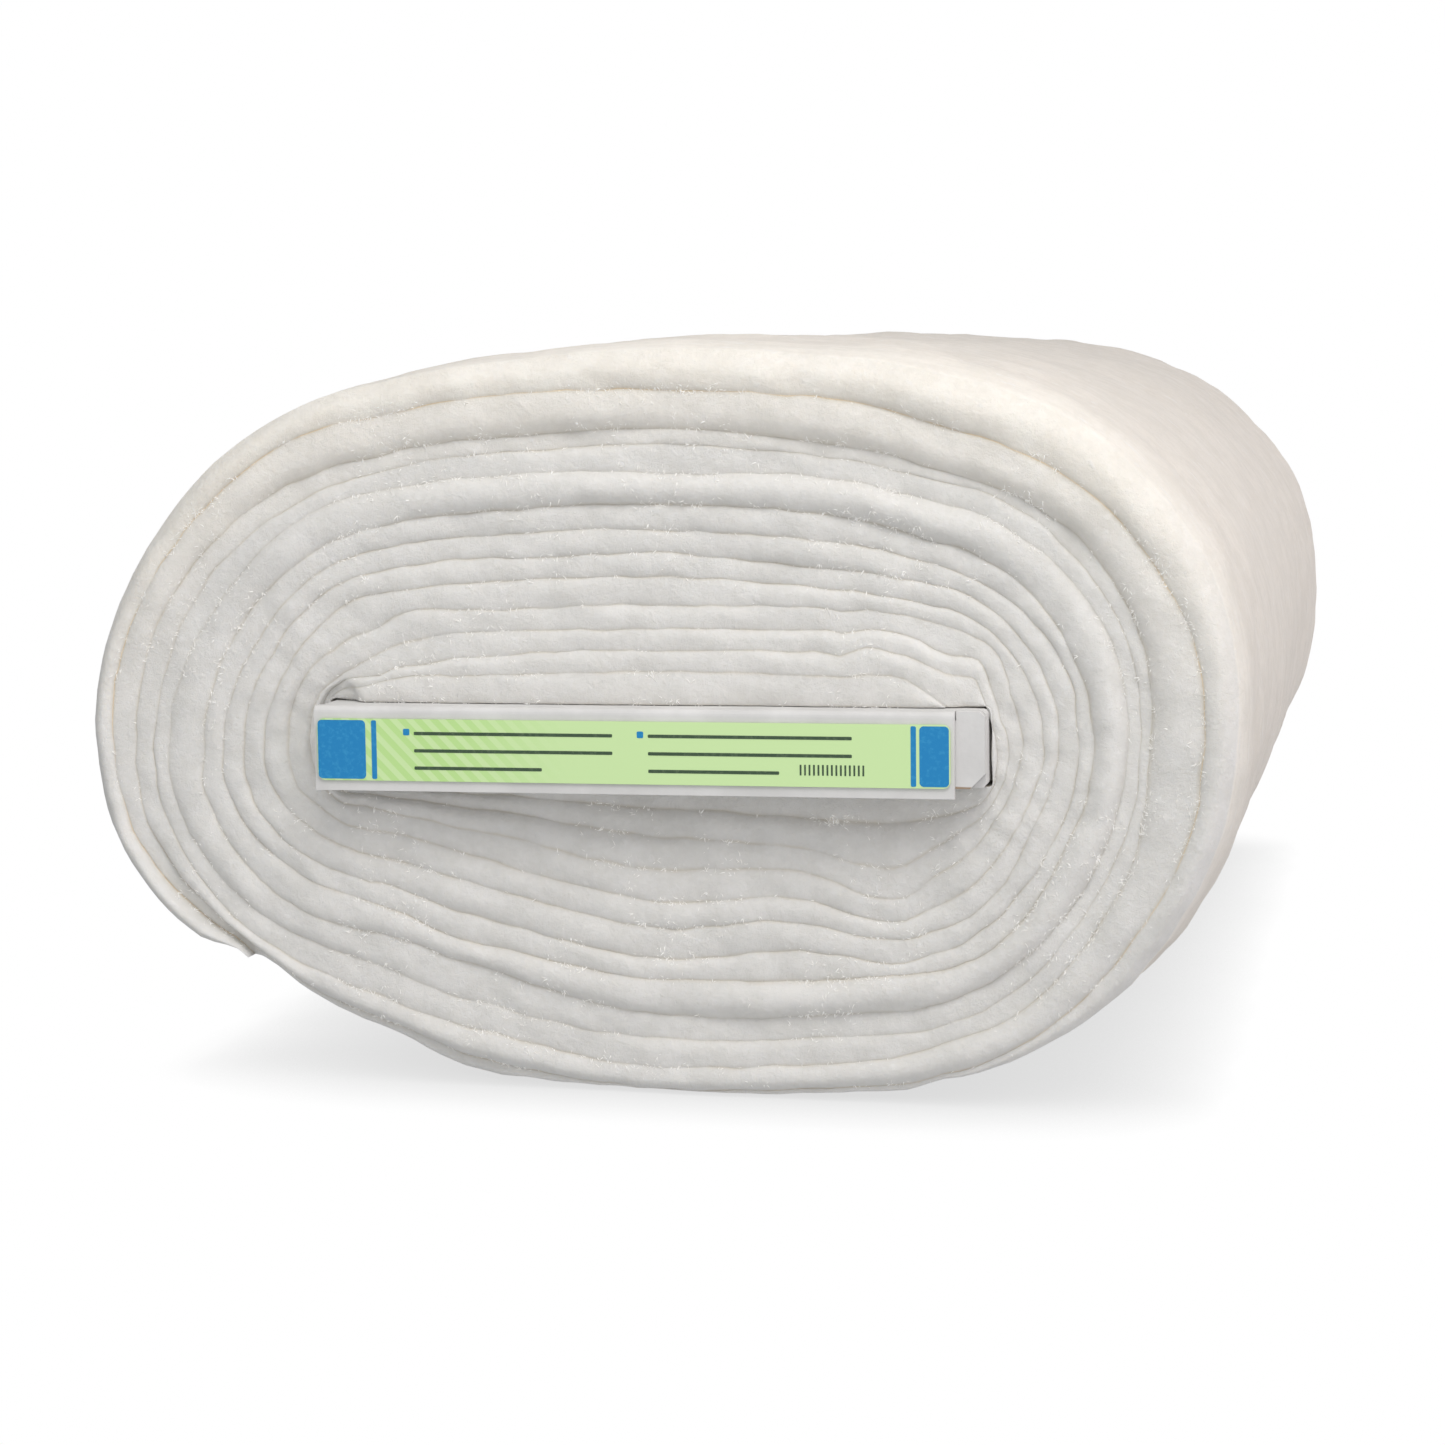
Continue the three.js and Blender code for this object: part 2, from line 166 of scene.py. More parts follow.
# The same where a fold ends: the last turn but one is pulled in behind the board's right end,
# and the two last ones behind its left end.
FOLD_ENDS = (
    (11, ((7.5, -7.0), (9.6, -1.5), (19.8, 0.4), (20.35, -1.0), (20.9, -1.5), (21.8, -2.0))),
    (12, ((8.6, -5.0), (9.3, -1.5), (10.2, 0.2))),
)

# How deep the groove beside each turn's fold is against its half width, how deep the crease inside
# it is, how much painted shade the crease has, and where the fold's crest is, from 0 at its outer face
# to 1 at its inner one.
FOLD_ROWS = (
    (0.10, 0.08, 0.85, 0.58),
    (0.13, 0.08, 0.60, 0.50),
    (0.12, 0.08, 0.55, 0.50),
    (0.08, 0.05, 0.20, 0.50),
    (0.13, 0.08, 0.60, 0.50),
    (0.20, 0.08, 0.60, 0.50),
    (0.20, 0.08, 0.60, 0.50),
    (0.20, 0.08, 0.60, 0.50),
    (0.15, 0.08, 0.55, 0.50),
    (0.12, 0.08, 0.55, 0.50),
    (0.09, 0.08, 0.55, 0.50),
    (0.09, 0.08, 0.55, 0.50),
    (0.09, 0.08, 0.55, 0.50),
)


@dataclass(frozen=True)
class SmoothCurve:
    """A smooth curve through knots, for whole arrays of steps at once.

    Args:
        steps: where the knots are, rising.
        values: the curve's value at each knot.
    """

    steps: np.ndarray
    values: np.ndarray

    def at(self, step: np.ndarray) -> np.ndarray:
        """Evaluates the curve.

        Args:
            step: the steps to evaluate it at.

        Returns:
            The values there.
        """
        last = len(self.steps) - 1
        before = np.maximum(np.arange(last + 1) - 1, 0)
        after = np.minimum(np.arange(last + 1) + 1, last)
        slope = (self.values[after] - self.values[before]) / (self.steps[after] - self.steps[before])
        i = np.minimum(np.searchsorted(self.steps[1:], step, side="left"), last - 1)
        span = self.steps[i + 1] - self.steps[i]
        t = np.clip((step - self.steps[i]) / span, 0.0, 1.0)
        rise = self.values[i + 1] - self.values[i]
        bend = (1 - t) * (slope[i] * span - rise) - t * (slope[i + 1] * span - rise)
        return self.values[i] + t * rise + t * (1 - t) * bend


@dataclass(frozen=True)
class Ripple:
    """Smooth unevenness, as a sum of waves in seeded directions.

    Args:
        wavelength: the usual distance between two rises.
        seed: which pattern it is.
        waves: how many waves it adds up.
    """

    wavelength: float
    seed: int
    waves: int = 18

    def at(self, points: np.ndarray) -> np.ndarray:
        """Evaluates the unevenness.

        Args:
            points: one row of coordinates for each place.

        Returns:
            A value for each place, mostly between -1 and 1.
        """
        chance = np.random.default_rng(self.seed)
        direction = chance.normal(size=(self.waves, points.shape[-1]))
        direction /= np.linalg.norm(direction, axis=1, keepdims=True)
        stretch = chance.uniform(0.6, 1.7, size=(self.waves, 1))
        phase = chance.uniform(0, 2 * math.pi, size=self.waves)
        turns = 2 * math.pi / self.wavelength * direction * stretch
        waves = np.cos(points @ turns.T + phase)
        return waves.sum(axis=-1) / math.sqrt(self.waves)


@dataclass(frozen=True)
class Ripples:
    """Smooth unevenness of several sizes at once.

    Args:
        parts: the height, the wavelength and the seed of each size.
    """

    parts: tuple[tuple[float, float, int], ...]

    def at(self, points: np.ndarray) -> np.ndarray:
        """Adds up the unevenness of all sizes at some places."""
        return sum(
            height * Ripple(wavelength, seed).at(points) for height, wavelength, seed in self.parts
        )


@dataclass
class Winding:
    """The way the folded cloth goes round the board, as rays that leave a flat middle line.

    A step is a forty-second of a turn. The strand is followed from its tail at the lower left,
    over the top, round the right end and back along the bottom, inwards to the board.
    """

    track_half: float = 90.0
    top_steps: int = 9
    fan_steps: int = 12
    tail_fan_steps: int = 10
    turns: int = 12
    rest_drop: float = 106.0

    @property
    def turn_steps(self) -> int:
        """Steps in a whole turn."""
        return 2 * (self.top_steps + self.fan_steps)

    @property
    def strand_steps(self) -> int:
        """Steps from the tail to the cloth's first end, at the right of the board's top."""
        return self.turns * self.turn_steps + self.tail_fan_steps + self.top_steps

    def knots(self, columns: tuple, rows: tuple, extra: tuple = ()) -> SmoothCurve:
        """Lays the rows of a table end to end along the strand, a turn for each row.

        Args:
            columns: the steps in a turn that the table's columns stand for.
            rows: a row of values for each turn; the last may be shorter.
            extra: further knots, as a turn and its pairs of a step and a value.

        Returns:
            The curve through them.
        """
        pairs = [
            (turn * self.turn_steps + column, value)
            for turn, row in enumerate(rows)
            for column, value in zip(columns, row)
        ]
        pairs += [
            (turn * self.turn_steps + column, value)
            for turn, row in extra
            for column, value in row
        ]
        steps, values = np.array(sorted(pairs), dtype=float).T
        return SmoothCurve(steps, values)

    def ray(self, step: np.ndarray) -> tuple[np.ndarray, np.ndarray, np.ndarray]:
        """Finds the rays of some steps.

        Args:
            step: the steps, which need not be whole.

        Returns:
            Where each ray leaves the middle line, and its direction in X and Z.
        """
        fan, top, half = self.fan_steps, self.top_steps, self.track_half
        s = (step + fan - self.tail_fan_steps) % self.turn_steps
        along_top = (s - fan) / top
        along_bottom = (s - 2 * fan - top) / top
        parts = [s < fan, s < fan + top, s < 2 * fan + top]
        left, right = -half + 0 * s, half + 0 * s
        foot = np.select(parts, [left, half * (2 * along_top - 1), right], half * (1 - 2 * along_bottom))
        round_left = -90 - 180 * s / fan
        round_right = 90 - 180 * (s - fan - top) / fan
        angle = np.radians(np.select(parts, [round_left, 90 + 0 * s, round_right], -90.0))
        return foot, np.cos(angle), np.sin(angle)

    def point(self, step: np.ndarray, distance: np.ndarray) -> tuple[np.ndarray, np.ndarray]:
        """Finds points on the rays, kept above the flat spot that the roll rests on.

        Args:
            step: the steps of the rays.
            distance: how far along each ray the point is.

        Returns:
            The points' X and Z.
        """
        foot, dx, dz = self.ray(step)
        down = np.maximum(-dz, 1e-6)
        drop = np.where(dz < 0, self.rest_drop / down, np.inf)
        d = np.minimum(distance, drop)
        return foot + dx * d, dz * d


@dataclass
class Pocket:
    """The space in the middle of the roll that the board fills."""

    board_width: float = 206.0
    board_thickness: float = 23.0
    tilt: float = BOARD_TILT
    centre_x: float = 0.1
    centre_z: float = 2.3
    gap: float = 0.25
    slack: float = 0.7
    swing: float = math.radians(1.6)
    flattest: float = 1e-3

    def distance(self, foot: np.ndarray, angle: np.ndarray) -> np.ndarray:
        """Finds how far along its ray the pocket's wall is.

        Args:
            foot: where each ray leaves the middle line.
            angle: each ray's direction, as an angle from +X.

        Returns:
            The distances.
        """
        cos, sin = math.cos(self.tilt), math.sin(self.tilt)
        from_x, from_z = foot - self.centre_x, -self.centre_z
        x = from_x * cos + from_z * sin
        z = from_z * cos - from_x * sin
        ux = np.cos(angle) * cos + np.sin(angle) * sin
        uz = np.sin(angle) * cos - np.cos(angle) * sin
        half_width = self.board_width / 2 + np.where(ux > 0, self.slack, self.gap)
        half_height = self.board_thickness / 2 + self.gap
        to_side = self.run_to(np.sign(ux) * half_width - x, ux)
        to_face = self.run_to(np.sign(uz) * half_height - z, uz)
        return np.minimum(to_side, to_face)

    def middle_line(self, lo: tuple, hi: tuple) -> Vector:
        """Finds the middle of the winding from the board's box, in metres."""
        centre = (Vector(lo) + Vector(hi)) / 2
        return centre - Vector((self.centre_x, 0.0, self.centre_z)) * MM

    def run_to(self, gap: np.ndarray, slope: np.ndarray) -> np.ndarray:
        """Finds how far a ray runs to cross a gap, which is endless where it runs beside it."""
        beside = np.abs(slope) < self.flattest
        return np.where(beside, np.inf, gap / np.where(beside, self.flattest, slope))

    def reach(self, winding: Winding, step: np.ndarray) -> np.ndarray:
        """Finds the pocket's distance, with room for the chords between neighbouring rays.

        Args:
            winding: the winding that the rays belong to.
            step: the steps of the rays.

        Returns:
            The distances.
        """
        foot, dx, dz = winding.ray(step)
        angle = np.arctan2(dz, dx)
        swing = np.where(np.abs(foot) < winding.track_half, 0.0, self.swing)
        sides = [self.distance(foot, angle + turn * swing) for turn in (-1, 0, 1)]
        return np.max(sides, axis=0)


@dataclass
class BattingRoll:
    """The wound batting, as one closed mesh with a rounded fold for every turn."""

    name: str = "wound_batting"
    length: float = 2286.0 / 4
    # How finely it is cut: stations for each step, cells across a turn, rows along the side.
    fineness: int = 5
    across: int = 10
    wall_rows: int = 64
    wall_crowding: float = 0.75
    # The rims: how far their rounding reaches along the side, and how it falls.
    rim_radius: float = 26.0
    rim_start: float = 5.0
    rim_power: float = 2.2
    rim_most: float = 0.4
    # The folds of the front end: the half widths that count for a groove, how flat a fold's brow
    # is, and how sharp the crease between two folds is.
    groove_widths: tuple[float, float] = (0.5, 7.5)
    fold_flatness: float = 0.25
    inner_seam: float = 0.3
    nip_power: float = 16.0
    # The plainer folds of the back end.
    back_crest: float = 0.8
    back_groove: float = 4.0
    # The cut tail: where it starts and is at its full thickness, in steps, and how it thins.
    tail_taper: tuple[float, float] = (0.2, 0.72)
    tail_least: float = 0.06
    tail_power: float = 0.7
    # How much a turn rises over the flat spot, so that its two faces stay apart.
    flat_step: float = 0.3
    # Unevenness: how far things wander, and the ripples that they follow.
    seam_wander: float = 0.36
    seam_ripples: Ripples = Ripples(((1.0, 85.0, 3), (0.6, 24.0, 4), (0.25, 9.0, 7)))
    fold_wander: float = 0.45
    fold_settle: float = 0.4
    fold_ripples: Ripples = Ripples(((1.0, 120.0, 5), (0.3, 36.0, 6)))
    crease_ripples: Ripples = Ripples(((0.6, 45.0, 8),))
    back_ripples: Ripples = Ripples(((0.6, 120.0, 12),))
    surface_wander: float = 0.35
    surface_ripples: Ripples = Ripples(((1.0, 22.0, 21), (0.7, 9.0, 22)))
    wall_wander: float = 0.9
    wall_settle: float = 0.1
    wall_stretch: float = 1.9
    wall_ripples: Ripples = Ripples(((1.0, 95.0, 31), (0.35, 30.0, 32)))
    # Painted shade and light: how wide the painted shade along a seam is, how the painted shade of
    # the valleys between the folds grows towards the seams and how weak it is on the outermost turn, how
    # many turns inwards the cream colour and its painted highlight reach, how far along the side from
    # each end its painted shade comes in, and over what height above the middle the highlight grows to
    # full.
    seam_line: float = 0.14
    valley_power: int = 4
    rim_valley: float = 0.3
    cream_highlight_turns: float = 3.2
    side_shade_reach: float = 26.0
    cream_highlight_height: float = 75.0
    origin: Vector = field(default_factory=Vector)
    winding: Winding = field(default_factory=Winding)
    pocket: Pocket = field(default_factory=Pocket)

    def __post_init__(self) -> None:
        """Prepares the curves of the turn tables."""
        columns = tuple(column.value for column in Column)
        self.outer_face = self.winding.knots(columns, TURN_ROWS, CORNER_KNOTS)
        self.proud = self.winding.knots(PROUD_COLUMNS, PROUD_ROWS, FOLD_ENDS)
        self.roundness, self.crease_depth, self.crease_shade_strength, self.crest_place = (
            self.winding.knots((Column.TOP.value,), tuple((value,) for value in values))
            for values in zip(*FOLD_ROWS)
        )
        step = self.stations
        x, z = self.winding.point(step, self.outer_face.at(step))
        lengths = np.hypot(np.diff(x), np.diff(z))
        self.travel = np.concatenate([[0.0], np.cumsum(lengths)])
        self.grids: list[np.ndarray] = []

    @property
    def stations(self) -> np.ndarray:
        """The steps at which the strand is cut into rows of vertices."""
        return np.arange(self.winding.strand_steps * self.fineness + 1) / self.fineness

    @property
    def turn_stations(self) -> int:
        """Stations in a whole turn."""
        return self.winding.turn_steps * self.fineness

    def way(self, step: np.ndarray) -> np.ndarray:
        """Finds how far along the cloth each step is, as one row for each."""
        return np.interp(step, self.stations, self.travel)[:, None]

    def face_distance(self, step: np.ndarray) -> np.ndarray:
        """Finds a turn's outer face, with a seam that wanders a little.

        Args:
            step: the steps to find it at.

        Returns:
            Its distance from the middle line.
        """
        wander = self.seam_ripples.at(self.way(step))
        fade = np.clip(step / self.winding.turn_steps, 0.0, 1.0)
        face = self.outer_face.at(step)
        under = self.outer_face.at(step + self.winding.turn_steps)
        start, full = self.tail_taper
        taper = np.clip((step - start) / (full - start), self.tail_least, 1.0)
        return under + (face - under) * taper**self.tail_power + self.seam_wander * fade * wander

    def crest(self, step: np.ndarray) -> np.ndarray:
        """Finds how far a turn's fold stands in front of the plain end, at its crest."""
        wander = self.fold_ripples.at(self.way(step))
        return self.proud.at(step) + self.fold_wander * (wander - self.fold_settle)

    @property
    def shares(self) -> np.ndarray:
        """The places across a turn, from 0 at its outer face to 1 at its inner one."""
        return 0.5 - 0.5 * np.cos(np.pi * np.arange(self.across + 1) / self.across)

    def end_face(self, front: bool) -> np.ndarray:
        """Makes the vertices of one end of the roll.

        Args:
            front: whether it is the end that the label is on.

        Returns:
            The vertices of the strand, by station and by place across the turn.
        """
        step = self.stations
        share = self.shares
        outer, inner = self.faces(step)
        outer = outer - self.rim_pulled(step)
        distance = outer[:, None] + (inner - outer)[:, None] * share[None, :]
        grid_step = np.broadcast_to(step[:, None], distance.shape)
        x, z = self.winding.point(grid_step, distance)
        z = np.maximum(z, self.flat_step * share[None, :] - self.winding.rest_drop)
        depth = self.front_depth(step, share) if front else self.back_depth(step, share)
        half = self.length / 2
        y = -half + depth if front else half - depth
        return self.rough(np.stack([x, y, z], axis=-1), front)

    def faces(self, step: np.ndarray) -> tuple[np.ndarray, np.ndarray]:
        """Finds a turn's outer and inner faces.

        Args:
            step: the steps to find them at.

        Returns:
            Their distances from the middle line.
        """
        last, turn = self.winding.strand_steps, self.winding.turn_steps
        inside = np.minimum(step + turn, last)
        reach = self.pocket.reach(self.winding, step)
        inner = np.where(step + turn > last, reach, self.face_distance(inside))
        return self.face_distance(step), inner

    def rim_pulled(self, step: np.ndarray) -> np.ndarray:
        """Finds how far the outermost turn is drawn in at the roll's rims.

        Args:
            step: the steps to find it at.

        Returns:
            The distances, which never take up too much of the turn.
        """
        outer, inner = self.faces(step)
        places, pulls = zip(*RIM_PULL)
        pull = np.interp(step, places, pulls)
        return np.minimum(pull, self.rim_most * (outer - inner))

    def front_depth(self, step: np.ndarray, share: np.ndarray) -> np.ndarray:
        """Finds how far the front end's vertices lie behind the plain end.

        Args:
            step: the stations' steps.
            share: the places across a turn, from 0 at its outer face to 1 at its inner one.

        Returns:
            A depth for each station and place.
        """
        turn, last = self.winding.turn_steps, self.winding.strand_steps
        crest = -self.crest(step)
        outer, inner = self.faces(step)
        groove = self.roundness.at(step) * np.clip((outer - inner) / 2, *self.groove_widths)
        shoulder = crest + groove
        shoulder_before = np.interp(step - turn, step, shoulder)
        shoulder_after = np.interp(step + turn, step, shoulder)
        vary = 1.0 + self.crease_ripples.at(self.way(step))
        nip = self.crease_depth.at(step) * np.maximum(vary, 0.0)
        nip_before = np.interp(step - turn, step, nip)
        outer_seam = np.maximum(shoulder_before, shoulder)
        outer_seam = np.where(step < turn, crest + self.rim_start, outer_seam)
        inner_seam = np.maximum(shoulder_after, shoulder)
        inner_seam = np.where(step + turn > last, shoulder + self.inner_seam, inner_seam)
        skew = math.log(0.5) / np.log(self.crest_place.at(step))
        middle = 2.0 * share[None, :] ** skew[:, None] - 1.0
        outside = middle < 0
        fall = np.where(outside, outer_seam[:, None], inner_seam[:, None]) - crest[:, None]
        pinch = np.where(outside, nip_before[:, None], nip[:, None]) * np.abs(middle) ** self.nip_power
        bow = (1 - self.fold_flatness) * middle**2 + self.fold_flatness * middle**4
        return crest[:, None] + fall * bow + pinch

    def back_depth(self, step: np.ndarray, share: np.ndarray) -> np.ndarray:
        """Finds how far the back end's vertices lie in front of the plain end.

        Args:
            step: the stations' steps.
            share: the places across a turn, from 0 at its outer face to 1 at its inner one.

        Returns:
            A depth for each station and place.
        """
        crest = self.back_crest + self.back_ripples.at(self.way(step))
        middle = 2.0 * share[None, :] - 1.0
        rise = 1.0 - np.sqrt(1.0 - middle**2)
        return np.maximum(crest[:, None] + self.back_groove * rise, 0.0)

    def rough(self, grid: np.ndarray, front: bool) -> np.ndarray:
        """Gives an end face the soft unevenness of batting.

        Args:
            grid: the vertices by station and place across the turn.
            front: whether it is the front end.

        Returns:
            The vertices, moved a little along the roll.
        """
        moved = grid.reshape(-1, 3).copy()
        moved[:, 1] += self.surface_wander * self.surface_ripples.at(moved) * (1.0 if front else -1.0)
        return moved.reshape(grid.shape)

    def build(self) -> bpy.types.Object:
        """Builds the closed mesh and dresses it.

        Returns:
            The finished roll.
        """
        step = self.stations
        count, across = len(step), self.across
        turn = self.turn_stations
        vertices: list[np.ndarray] = []
        quads: list[np.ndarray] = []
        ids = []
        start = 0
        for front in (True, False):
            grid = self.end_face(front)
            strand = grid[:, :across].reshape(-1, 3)
            pocket = grid[count - turn :, across]
            vertices += [strand, pocket]
            numbers = np.empty((count, across + 1), dtype=int)
            numbers[:, :across] = start + np.arange(count * across).reshape(count, across)
            numbers[: count - turn, across] = numbers[turn:, 0]
            numbers[count - turn :, across] = start + count * across + np.arange(turn)
            ids.append(numbers)
            start += len(strand) + len(pocket)
            a, b = numbers[:-1, :-1].ravel(), numbers[:-1, 1:].ravel()
            c, d = numbers[1:, 1:].ravel(), numbers[1:, :-1].ravel()
            quads.append(np.stack([a, b, c, d] if front else [a, d, c, b], axis=1))
        points = np.concatenate(vertices)
        front_outer, back_outer = (self.outer_loop(numbers) for numbers in ids)
        front_pocket, back_pocket = (self.pocket_loop(numbers) for numbers in ids)
        wall, wall_quads = self.wall(points, front_outer, back_outer)
        quads.append(wall_quads)
        quads.append(self.strip(back_pocket, front_pocket))
        points = np.concatenate([points, wall])
        points = points * MM + np.array(self.origin)
        roll = piece_from(self.name, points, np.concatenate(quads))
        self.mark(roll.data, ids, len(points) - len(wall))
        self.grids = [points[numbers] for numbers in ids]
        self.dress(roll)
        return roll

    def dress(self, roll: bpy.types.Object) -> None:
        """Gives the roll its cotton, and hides the solid that it takes the place of.

        Args:
            roll: the roll's object.
        """
        cover(roll, CottonFinish().build())
        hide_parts("batting_roll")
        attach(roll, "root")

    def outer_loop(self, numbers: np.ndarray) -> np.ndarray:
        """Lists the vertices round the roll's outer rim, the tail's cut end included."""
        outermost = numbers[: self.turn_stations + 1, 0]
        return np.concatenate([outermost, numbers[0, self.across - 1 : 0 : -1]])

    def pocket_loop(self, numbers: np.ndarray) -> np.ndarray:
        """Lists the vertices round the pocket's rim, the first end's cut included."""
        first = len(numbers) - self.turn_stations
        return np.concatenate([numbers[first:, self.across], numbers[-1, self.across - 1 :: -1]])

    def strip(self, near: np.ndarray, far: np.ndarray) -> np.ndarray:
        """Joins two loops of vertices with a band of faces."""
        return np.stack([near, np.roll(near, -1), np.roll(far, -1), far], axis=1)

    def wall(
        self, points: np.ndarray, front: np.ndarray, back: np.ndarray
    ) -> tuple[np.ndarray, np.ndarray]:
        """Makes the roll's outer side between its two rims.

        Args:
            points: the vertices made so far.
            front: the front rim's loop.
            back: the back rim's loop.

        Returns:
            The new vertices and the faces of the side.
        """
        rows = self.wall_rows
        share = np.arange(1, rows) / rows
        share = share - self.wall_crowding * np.sin(2 * np.pi * share) / (2 * np.pi)
        near, far = points[front], points[back]
        grid = near[None] + (far - near)[None] * share[:, None, None]
        out = near.copy()
        out[:, 1] = 0.0
        along = np.roll(out, -1, axis=0) - np.roll(out, 1, axis=0)
        normal = np.stack([-along[:, 2], 0 * along[:, 0], along[:, 0]], axis=1)
        normal /= np.maximum(np.linalg.norm(normal, axis=1, keepdims=True), 1e-9)
        flat = grid.reshape(-1, 3)
        swell = self.wall_ripples.at(flat * np.array([1.0, self.wall_stretch, 1.0]))
        ends = np.minimum(grid[:, :, 1] - near[None, :, 1], far[None, :, 1] - grid[:, :, 1])
        inside = np.clip(ends / self.rim_radius, 0.0, 1.0)
        steps = np.concatenate([self.stations[: self.turn_stations + 1], np.zeros(self.across - 1)])
        round_off = self.rim_pulled(steps)[None, :] * (1.0 - (1.0 - inside) ** self.rim_power)
        swell = swell.reshape(grid.shape[:2]) - self.wall_settle
        offset = round_off + self.wall_wander * inside * swell
        grid = grid + normal[None] * offset[..., None]
        grid[..., 2] = np.maximum(grid[..., 2], -self.winding.rest_drop)
        numbers = len(points) + np.arange(len(flat)).reshape(rows - 1, len(front))
        loops = np.concatenate([front[None], numbers, back[None]])
        bands = [self.strip(loops[i], loops[i + 1]) for i in range(rows)]
        return grid.reshape(-1, 3), np.concatenate(bands)

    def crease(self, near_seam: np.ndarray) -> np.ndarray:
        """Gives how much of the seam's painted shade a place has, from how near it is to the seam."""
        return np.clip((near_seam - 1.0 + self.seam_line) / self.seam_line, 0.0, 1.0)

    def mark(self, mesh: bpy.types.Mesh, ids: list[np.ndarray], wall_start: int) -> None:
        """Stores the painted shade of the seams and the valleys, the cream colour and painted highlight
        of the outer turns, the painted shade of the side, and how the cloth runs, for the finish to
        read.

        Args:
            mesh: the roll's mesh.
            ids: the vertex numbers of the two ends.
            wall_start: the number of the outer side's first vertex.
        """
        share = self.shares
        near_seam = np.abs(2 * share - 1)
        step = self.stations
        turn = self.winding.turn_steps
        # How much painted shade each seam gets, from the turns on either side of it.
        inner_seam_shade = self.crease_shade_strength.at(step)
        outer_seam_shade = self.crease_shade_strength.at(np.maximum(step - turn, 0.0))
        outer_seam_shade = np.where(step < turn, 0.0, outer_seam_shade)
        seam, valley, age = np.zeros((3, len(mesh.vertices)))
        run = np.zeros((len(mesh.vertices), 3))
        points = np.empty(len(mesh.vertices) * 3)
        mesh.vertices.foreach_get("co", points)
        points = points.reshape(-1, 3)
        run[:, 1] = points[:, 1] - self.origin.y
        for numbers in ids:
            # Painted shade along each seam, where two turns meet.
            seam_shade = np.where(share[None, :] < 0.5, outer_seam_shade[:, None], inner_seam_shade[:, None])
            seam[numbers] = seam_shade * self.crease(near_seam)[None, :]
            # Painted shade in the valleys beside the seams, weaker on the outermost turn.
            low = np.where(step < turn, self.rim_valley, 1.0)
            valley[numbers] = (near_seam**self.valley_power)[None, :] * low[:, None]
            run[numbers[:, 0], 0] = self.travel * MM
            own = numbers[:, : self.across]
            # The cream colour, with its painted highlight, on the outer turns, growing towards the top.
            faded = CREAM_HIGHLIGHT_FULL * np.clip(1.0 - step / (self.cream_highlight_turns * turn), 0.0, 1.0)
            high = np.clip((points[own, 2] - self.origin.z) / (self.cream_highlight_height * MM), 0.0, 1.0)
            age[own] = faded[:, None] * high
        # The side is cream all over, with painted shade that comes in away from its two rims.
        from_end = (self.length / 2 * MM - np.abs(run[wall_start:, 1])) / (self.side_shade_reach * MM)
        age[wall_start:] = CREAM_HIGHLIGHT_FULL + (1 - CREAM_HIGHLIGHT_FULL) * np.clip(from_end, 0.0, 1.0)
        loop = np.concatenate([self.travel[: self.turn_stations + 1], np.zeros(self.across - 1)]) * MM
        side = len(mesh.vertices) - wall_start
        run[wall_start:, 0] = np.tile(loop, side // len(loop))
        run[wall_start:, 2] = 1.0
        for name, values in (("seam", seam), ("valley", valley), ("age", age)):
            attribute = mesh.attributes.new(name, "FLOAT", "POINT")
            attribute.data.foreach_set("value", values)
        run_attribute = mesh.attributes.new("run", "FLOAT_VECTOR", "POINT")
        run_attribute.data.foreach_set("vector", run.ravel())


